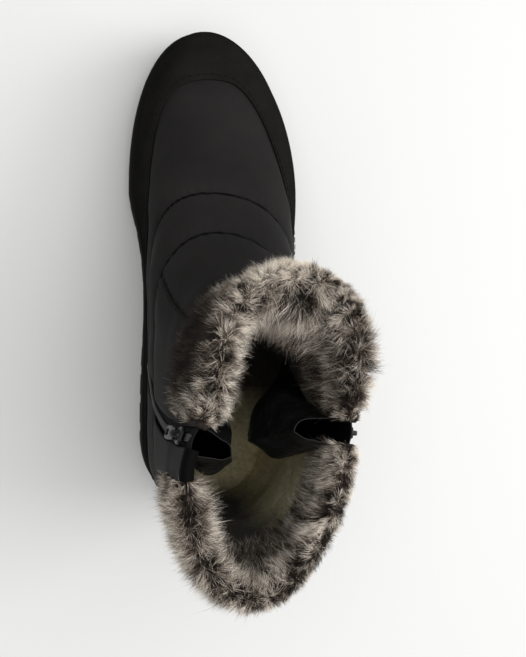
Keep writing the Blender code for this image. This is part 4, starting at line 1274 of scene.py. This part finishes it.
lacquer, tree, shader = new_finish("lacquer", 0.45, specular_ior_level=0.25)
place = object_place(tree)
ramp_factor = noise(tree, place, 180.0, 5.0)
paint(tree, shader, ramp_factor, (0.4, (0.004, 0.004, 0.0045)), (0.8, (0.012, 0.012, 0.013)))
tree.links.new(map_range(tree, ramp_factor, 0, 1, 0.25, 0.5), shader.inputs["Roughness"])
bump(tree, shader, noise(tree, place, 1200.0), 0.08, 0.0002)

shield_points, shield_faces = rounded_block(5.0, 10)
shield_points = shield_points * SLIDER_SIZE + np.array([0, 0, SLIDER_SIZE[2] / 2])
shield_points[:, 0] *= 1 - SHIELD_TAPER * smooth_step(-shield_points[:, 1], -1 * MM, 5 * MM)
slider_points, slider_faces = joined((shield_points, shield_faces), strap_surface())
tab_points, tab_faces = joined(ring_surface(*GRIP_RING), ring_surface(*LOOP_RING))
for word, side in SIDES.items():
    slider_mesh = fill_mesh("slider_cast_" + word, on_zip(side, slider_points, SLIDER_SEAT), slider_faces)
    add_piece(slider_mesh, lacquer, "boot", "slider", "slider_" + word)
    tab_mesh = fill_mesh("tab_pressed_" + word, on_zip(side, tab_points, HINGE_HEIGHT), tab_faces)
    add_piece(tab_mesh, lacquer, "pull_" + word, "slider", "pull_tab_" + word)
print("slider and tab:", len(slider_faces) + len(tab_faces), "quads a side")

# %% [markdown]
# ## Stitches
# Each seam shows a row of thread. A stitch is a short thread that dips into the cloth at both ends: the
# same rounded block, drawn out along the seam.

# %% Stitch rows
STITCH_LENGTH = 3.2 * MM
STITCH_GAP = 0.9 * MM
STITCH_INSET = 2.4 * MM
THREAD = 0.42 * MM
ROW_END_TURN = 0.56
SIDE_STITCH_TURN = 0.33
SIDE_STITCH_HALF = 1.6 * MM
SIDE_STITCH_TOP_LEVEL = 9.7


def stitches_along(path, outward):
    """Blocks along a line of points, one each stitch length and gap, turned to the line."""
    run = path_run(path)
    middle = np.arange(STITCH_LENGTH, run[-1] - STITCH_LENGTH, STITCH_LENGTH + STITCH_GAP)

    def read(values, at):
        """Values read off between the points at these lengths along the line."""
        return np.stack([np.interp(at, run, values[:, i]) for i in range(3)], axis=-1)

    centre, out = read(path, middle), unit(read(outward, middle))
    ahead = unit(read(path, middle + 1 * MM) - read(path, middle - 1 * MM))
    axes = np.stack([ahead, unit(np.cross(out, ahead)), out], axis=1)
    return block_row(centre, axes, np.array([STITCH_LENGTH, THREAD, THREAD]))


def seam_path(turn, level, out):
    """A line over the padded nylon, standing so far out of it, and the outward direction at each point."""
    point, outward, _ = wall_frame(turn, level)
    return point + outward * (upper_relief(turn, level) + out)[:, None], outward


thread_black, tree, shader = new_finish("thread_black", 0.7, specular_ior_level=0.12)
place = object_place(tree)
twist = noise(tree, place, 1500.0, 2.0)
paint(tree, shader, twist, (0.3, (0.0035, 0.0035, 0.0035)), (0.7, (0.009, 0.0088, 0.0086)))
bump(tree, shader, twist, 0.3, 0.0003)
seam_turn = np.linspace(-ROW_END_TURN, ROW_END_TURN, 400)
rows = [
    stitches_along(*seam_path(seam_turn, seam(seam_turn), 0.15 * MM))
    for seam in (vamp_seam, throat_seam)
]
for side in SIDES.values():
    foot_level = throat_seam(side * SIDE_STITCH_TURN) + 0.15
    side_level = np.linspace(foot_level, SIDE_STITCH_TOP_LEVEL, 120)
    for shift in (-SIDE_STITCH_HALF, SIDE_STITCH_HALF):
        turn = side * (side_seam(side_level) + shift / metres_per_turn(SIDE_STITCH_TURN, side_level))
        rows.append(stitches_along(*seam_path(turn, side_level, 0.1 * MM)))
guard_scan = np.linspace(-1, 1, 900)
guard_edge = mudguard_level(guard_scan)
guard_row = guard_edge - STITCH_INSET / metres_per_level(guard_scan, guard_edge)
guard_path, guard_out, _ = wall_frame(guard_scan, guard_row)
rows.append(stitches_along(guard_path + guard_out * (MUDGUARD_GAP + MUDGUARD_THICK), guard_out))
stitches = np.concatenate(rows)
add_piece(block_mesh("stitches", stitches), thread_black, "boot", "nylon")
print("stitches:", len(stitches))

# %% [markdown]
# ## Floor and light
# A plain pale floor and soft light from large panels: the strongest from above the lateral side, so the
# inner side falls off into a soft shade, as under a studio's overhead panel.

# %% Studio
FLOOR_HALF = 3.0
floor_corners = FLOOR_HALF * np.array([[-1, -1, 0], [1, -1, 0], [1, 1, 0], [-1, 1, 0]])
floor_mesh = fill_mesh("floor", floor_corners, np.array([[0, 1, 2, 3]]))
floor = bpy.data.objects.new("floor", floor_mesh)
floor_paint, tree, shader = new_finish("floor_paint", 0.8, specular_ior_level=0.2)
shader.inputs["Base Color"].default_value = (0.80, 0.80, 0.79, 1)
floor_mesh.materials.append(floor_paint)
bpy.context.scene.collection.objects.link(floor)


def soft_panel(name, place, target, size, power):
    """A square area light that faces a target point."""
    panel = bpy.data.lights.new(name, "AREA")
    panel.shape = "SQUARE"
    panel.size = size
    panel.energy = power
    lamp = bpy.data.objects.new(name, panel)
    lamp.location = place
    lamp.rotation_euler = (Vector(target) - Vector(place)).to_track_quat("-Z", "Y").to_euler()
    bpy.context.scene.collection.objects.link(lamp)


soft_panel("overhead", place=(0.16, 0.12, 1.6), target=(0, 0.08, 0.05), size=2.0, power=27)
soft_panel("lateral", place=(1.3, 0.2, 0.9), target=(0, 0.08, 0.08), size=0.9, power=11)
world = bpy.data.worlds.new("studio")
world.use_nodes = True
background = world.node_tree.nodes["Background"]
background.inputs["Color"].default_value = (1, 1, 1, 1)
background.inputs["Strength"].default_value = 0.24
bpy.context.scene.world = world
bpy.context.scene.view_settings.view_transform = "Standard"
print("studio:", len(bpy.data.lights), "panels over a floor of", 2 * FLOOR_HALF, "m")
